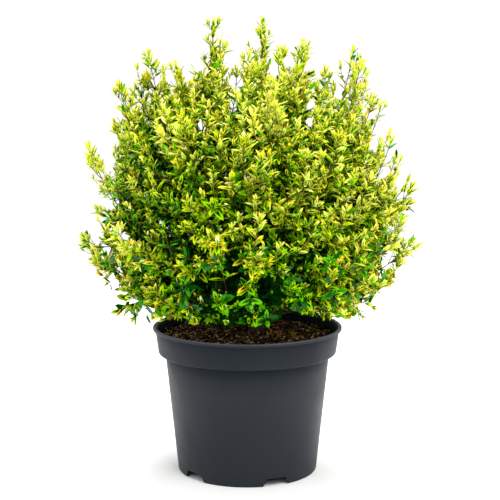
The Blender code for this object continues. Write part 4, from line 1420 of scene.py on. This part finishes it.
# Each point of a leaf: share of its length, and share of its half width
LEAF_POINTS = (
    (0.0, 0.0),
    (0.28, -0.90),
    (0.28, -0.56),
    (0.28, 0.0),
    (0.28, 0.56),
    (0.28, 0.90),
    (0.74, -0.80),
    (0.74, 0.0),
    (0.74, 0.80),
    (1.0, 0.0),
)
CENTRE_FACES = ((0, 3, 2), (0, 4, 3), (2, 3, 7), (3, 4, 7))
MARGIN_FACES = ((0, 5, 4), (4, 5, 8), (4, 8, 7), (7, 8, 9), (0, 2, 1), (1, 2, 6), (2, 7, 6), (6, 7, 9))
PLAIN_KEPT = (0, 1, 3, 5, 6, 7, 8, 9)
PLAIN_FACES = ((0, 5, 3), (0, 3, 1), (3, 5, 8), (3, 8, 7), (1, 3, 7), (1, 7, 6), (7, 8, 9), (6, 7, 9))


def leaf_arrays(rows, kept, faces):
    """Points and triangles of leaves that use some of the points of the pattern."""
    root, aim, side, above = (rows[:, None, k:k + 3] for k in (0, 3, 6, 9))
    length, half, curl = (rows[:, k][:, None, None] for k in (12, 13, 14))
    along = np.array([LEAF_POINTS[k][0] for k in kept])[None, :, None]
    across = np.array([LEAF_POINTS[k][1] for k in kept])[None, :, None]
    fold = LEAF_FOLD * np.abs(across) * half
    droop = curl * length * along**2
    points = root + aim * along * length + side * across * half + above * (fold - droop)
    place = {point: index for index, point in enumerate(kept)}
    pattern = np.array([[place[corner] for corner in face] for face in faces])
    first = (np.arange(len(rows)) * len(kept))[:, None, None]
    return points.reshape(-1, 3), (pattern[None] + first).reshape(-1, 3)


# Wood


def limb_arrays(line, radii, sides):
    """Points and triangles of a tapering limb with closed ends."""
    points = []
    side = None
    for k, (centre, radius) in enumerate(zip(line, radii)):
        ahead = (line[min(k + 1, len(line) - 1)] - line[max(k - 1, 0)]).normalized()
        side = ahead.cross(SIDE_AIM) if side is None else side - ahead * side.dot(ahead)
        side.normalize()
        other = ahead.cross(side)
        for corner in range(sides):
            angle = 2 * math.pi * corner / sides
            points.append(centre + (side * math.cos(angle) + other * math.sin(angle)) * radius)
    triangles = wall_triangles(len(line), sides)
    points += [line[0], line[-1]]
    last = (len(line) - 1) * sides
    for k in range(sides):
        n = (k + 1) % sides
        triangles += [(n, k, len(points) - 2), (last + k, last + n, len(points) - 1)]
    return points, triangles


def build_twigs(name, twigs, finishes):
    """The bare wood of a mass's shoots, young and pale towards their tips."""
    wood = Bits()
    for shoot, wood_end in twigs:
        grows = shoot.grows
        start, end = grows.wood
        steps = grows.rings - 1
        radii = [start + (end - start) * k / steps for k in range(grows.rings)]
        line = stretch(shoot.line, 0.0, wood_end, grows.rings)
        points, triangles = limb_arrays(line, radii, grows.sides)
        old = 0 if shoot.kind in ("sprig", "tuft") else int(YOUNG_WOOD_SHARE * steps) * 2 * grows.sides
        wood.add(points, triangles, [0] * old + [1] * (len(triangles) - old))
    dress(wood.piece(f"twigs_{name}", finishes), "bark")


def bark_relief(point, depth):
    """Height of the bark at a place: long plates with furrows between them."""
    furrow, grain = (
        noise.noise(Vector((point.x * across, point.y * across, point.z * along)))
        for across, along in (FURROWS, BARK_GRAIN)
    )
    return depth * (0.5 - abs(furrow) * FURROW_DEPTH + GRAIN_DEPTH * grain)


def trunk_arrays():
    """Points and triangles of the trunk, sunk in the compost at its flare and rounded at its fork."""
    points = []
    for ring in range(TRUNK_RINGS + 1):
        share = ring / TRUNK_RINGS
        middle = TRUNK_FOOT.lerp(TRUNK_FORK, share)
        middle = middle - UP * TRUNK_SINK * (1 - min(share / SINK_SHARE, 1.0))
        closing = max(0.0, (share - FORK_CLOSES) / (1 - FORK_CLOSES))
        radius = float(np.interp(share, *zip(*TRUNK_RADII)))
        for k in range(TRUNK_SIDES):
            angle = 2 * math.pi * k / TRUNK_SIDES
            wave = math.cos(FLARE_LOBES * angle + FLARE_TURN)
            lobes = FLARE_DEPTH * max(0.0, 1 - share / FLARE_SHARE) * wave
            reach = radius * (1 + lobes) * math.sqrt(max(0.0, 1 - closing**2))
            way = way_at(angle)
            place = middle + way * reach
            points.append(place + way * bark_relief(place, BARK_RIDGE))
    return points, wall_triangles(TRUNK_RINGS + 1, TRUNK_SIDES)


def build_limbs(axes):
    """The trunk, its boughs and the stems that carry them on, with the bark's relief."""
    wood = Bits()
    wood.add(*trunk_arrays())
    for name, axis in axes.items():
        length = lengths_along(axis)[-1]
        line = stretch(axis, 0.0, length, LIMB_RINGS)
        ends = (0.0, bough_end(name) / length, 1.0)
        radii = np.interp(np.linspace(0.0, 1.0, LIMB_RINGS), ends, BOUGH_RADII).tolist()
        points, triangles = limb_arrays(line, radii, LIMB_SIDES)
        for index, radius in enumerate(radii):
            for corner in range(index * LIMB_SIDES, (index + 1) * LIMB_SIDES):
                way = (points[corner] - line[index]).normalized()
                points[corner] = points[corner] + way * bark_relief(points[corner], radius * BOUGH_RIDGE)
        wood.add(points, triangles)
    limbs = wood.piece("bark_limbs", [bark_finish()])
    dress(limbs, "bark", "trunk", *[f"bough_{name}" for name in axes])


def build_crown(axes):
    leaf_materials = leaf_finishes()
    wood_materials = plain_finishes(WOOD_COLOURS, roughness=0.7, specular=0.08)
    rng = random.Random(SEED + 4)
    for name, shoots in grow(axes).items():
        foliage = Foliage(rng)
        for shoot in shoots:
            foliage.clothe(shoot)
        leaves = mesh_object(f"leaves_{name}", *foliage.arrays(), leaf_materials)
        dress(leaves, "variegated_leaves", f"foliage_{name}")
        build_twigs(name, foliage.twigs, wood_materials)


# Studio


def build_studio():
    edge = FLOOR_REACH
    corners = [(-edge, -edge, 0.0), (edge, -edge, 0.0), (edge, edge, 0.0), (-edge, edge, 0.0)]
    white = Finish("studio_white", (FLOOR_ALBEDO,) * 3, 0.9, Specular_IOR_Level=0.0).material
    mesh_object("studio_floor", corners, [(0, 1, 2, 3)], finishes=[white])
    world = bpy.data.worlds.new("studio_light")
    world.use_nodes = True
    glow = world.node_tree.nodes["Background"].inputs
    glow["Color"].default_value = (1.0, 1.0, 1.0, 1.0)
    glow["Strength"].default_value = WORLD_STRENGTH
    bpy.context.scene.world = world
    for name, place, size, power in LIGHTS:
        light = bpy.data.lights.new(name, "AREA")
        light.shape = "DISK"
        light.size = size
        light.energy = power
        lamp = bpy.data.objects.new(name, light)
        lamp.location = place
        lamp.rotation_mode = "QUATERNION"
        lamp.rotation_quaternion = (Vector(place) - LIGHTS_AIM).to_track_quat("Z", "Y")
        bpy.context.scene.collection.objects.link(lamp)


def build_camera():
    data = bpy.data.cameras.new("camera")
    data.sensor_width = SENSOR_WIDTH
    data.lens = SENSOR_WIDTH * FOCAL_PIXELS / IMAGE_SIZE
    camera = bpy.data.objects.new("camera", data)
    aside = (IMAGE_SIZE / 2 - POT_AXIS_PIXEL) / FOCAL_PIXELS * CAMERA_DISTANCE
    camera.location = (aside, -CAMERA_DISTANCE, CAMERA_HEIGHT)
    camera.rotation_euler = (math.radians(90 - CAMERA_PITCH_DEG), 0.0, 0.0)
    bpy.context.scene.collection.objects.link(camera)
    bpy.context.scene.camera = camera


def main():
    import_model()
    bpy.context.scene.view_settings.view_transform = "Standard"
    build_camera()
    build_studio()
    build_pot()
    build_compost()
    build_crumbs()
    build_fibres()
    build_litter()
    axes = bough_axes()
    build_limbs(axes)
    build_crown(axes)


main()
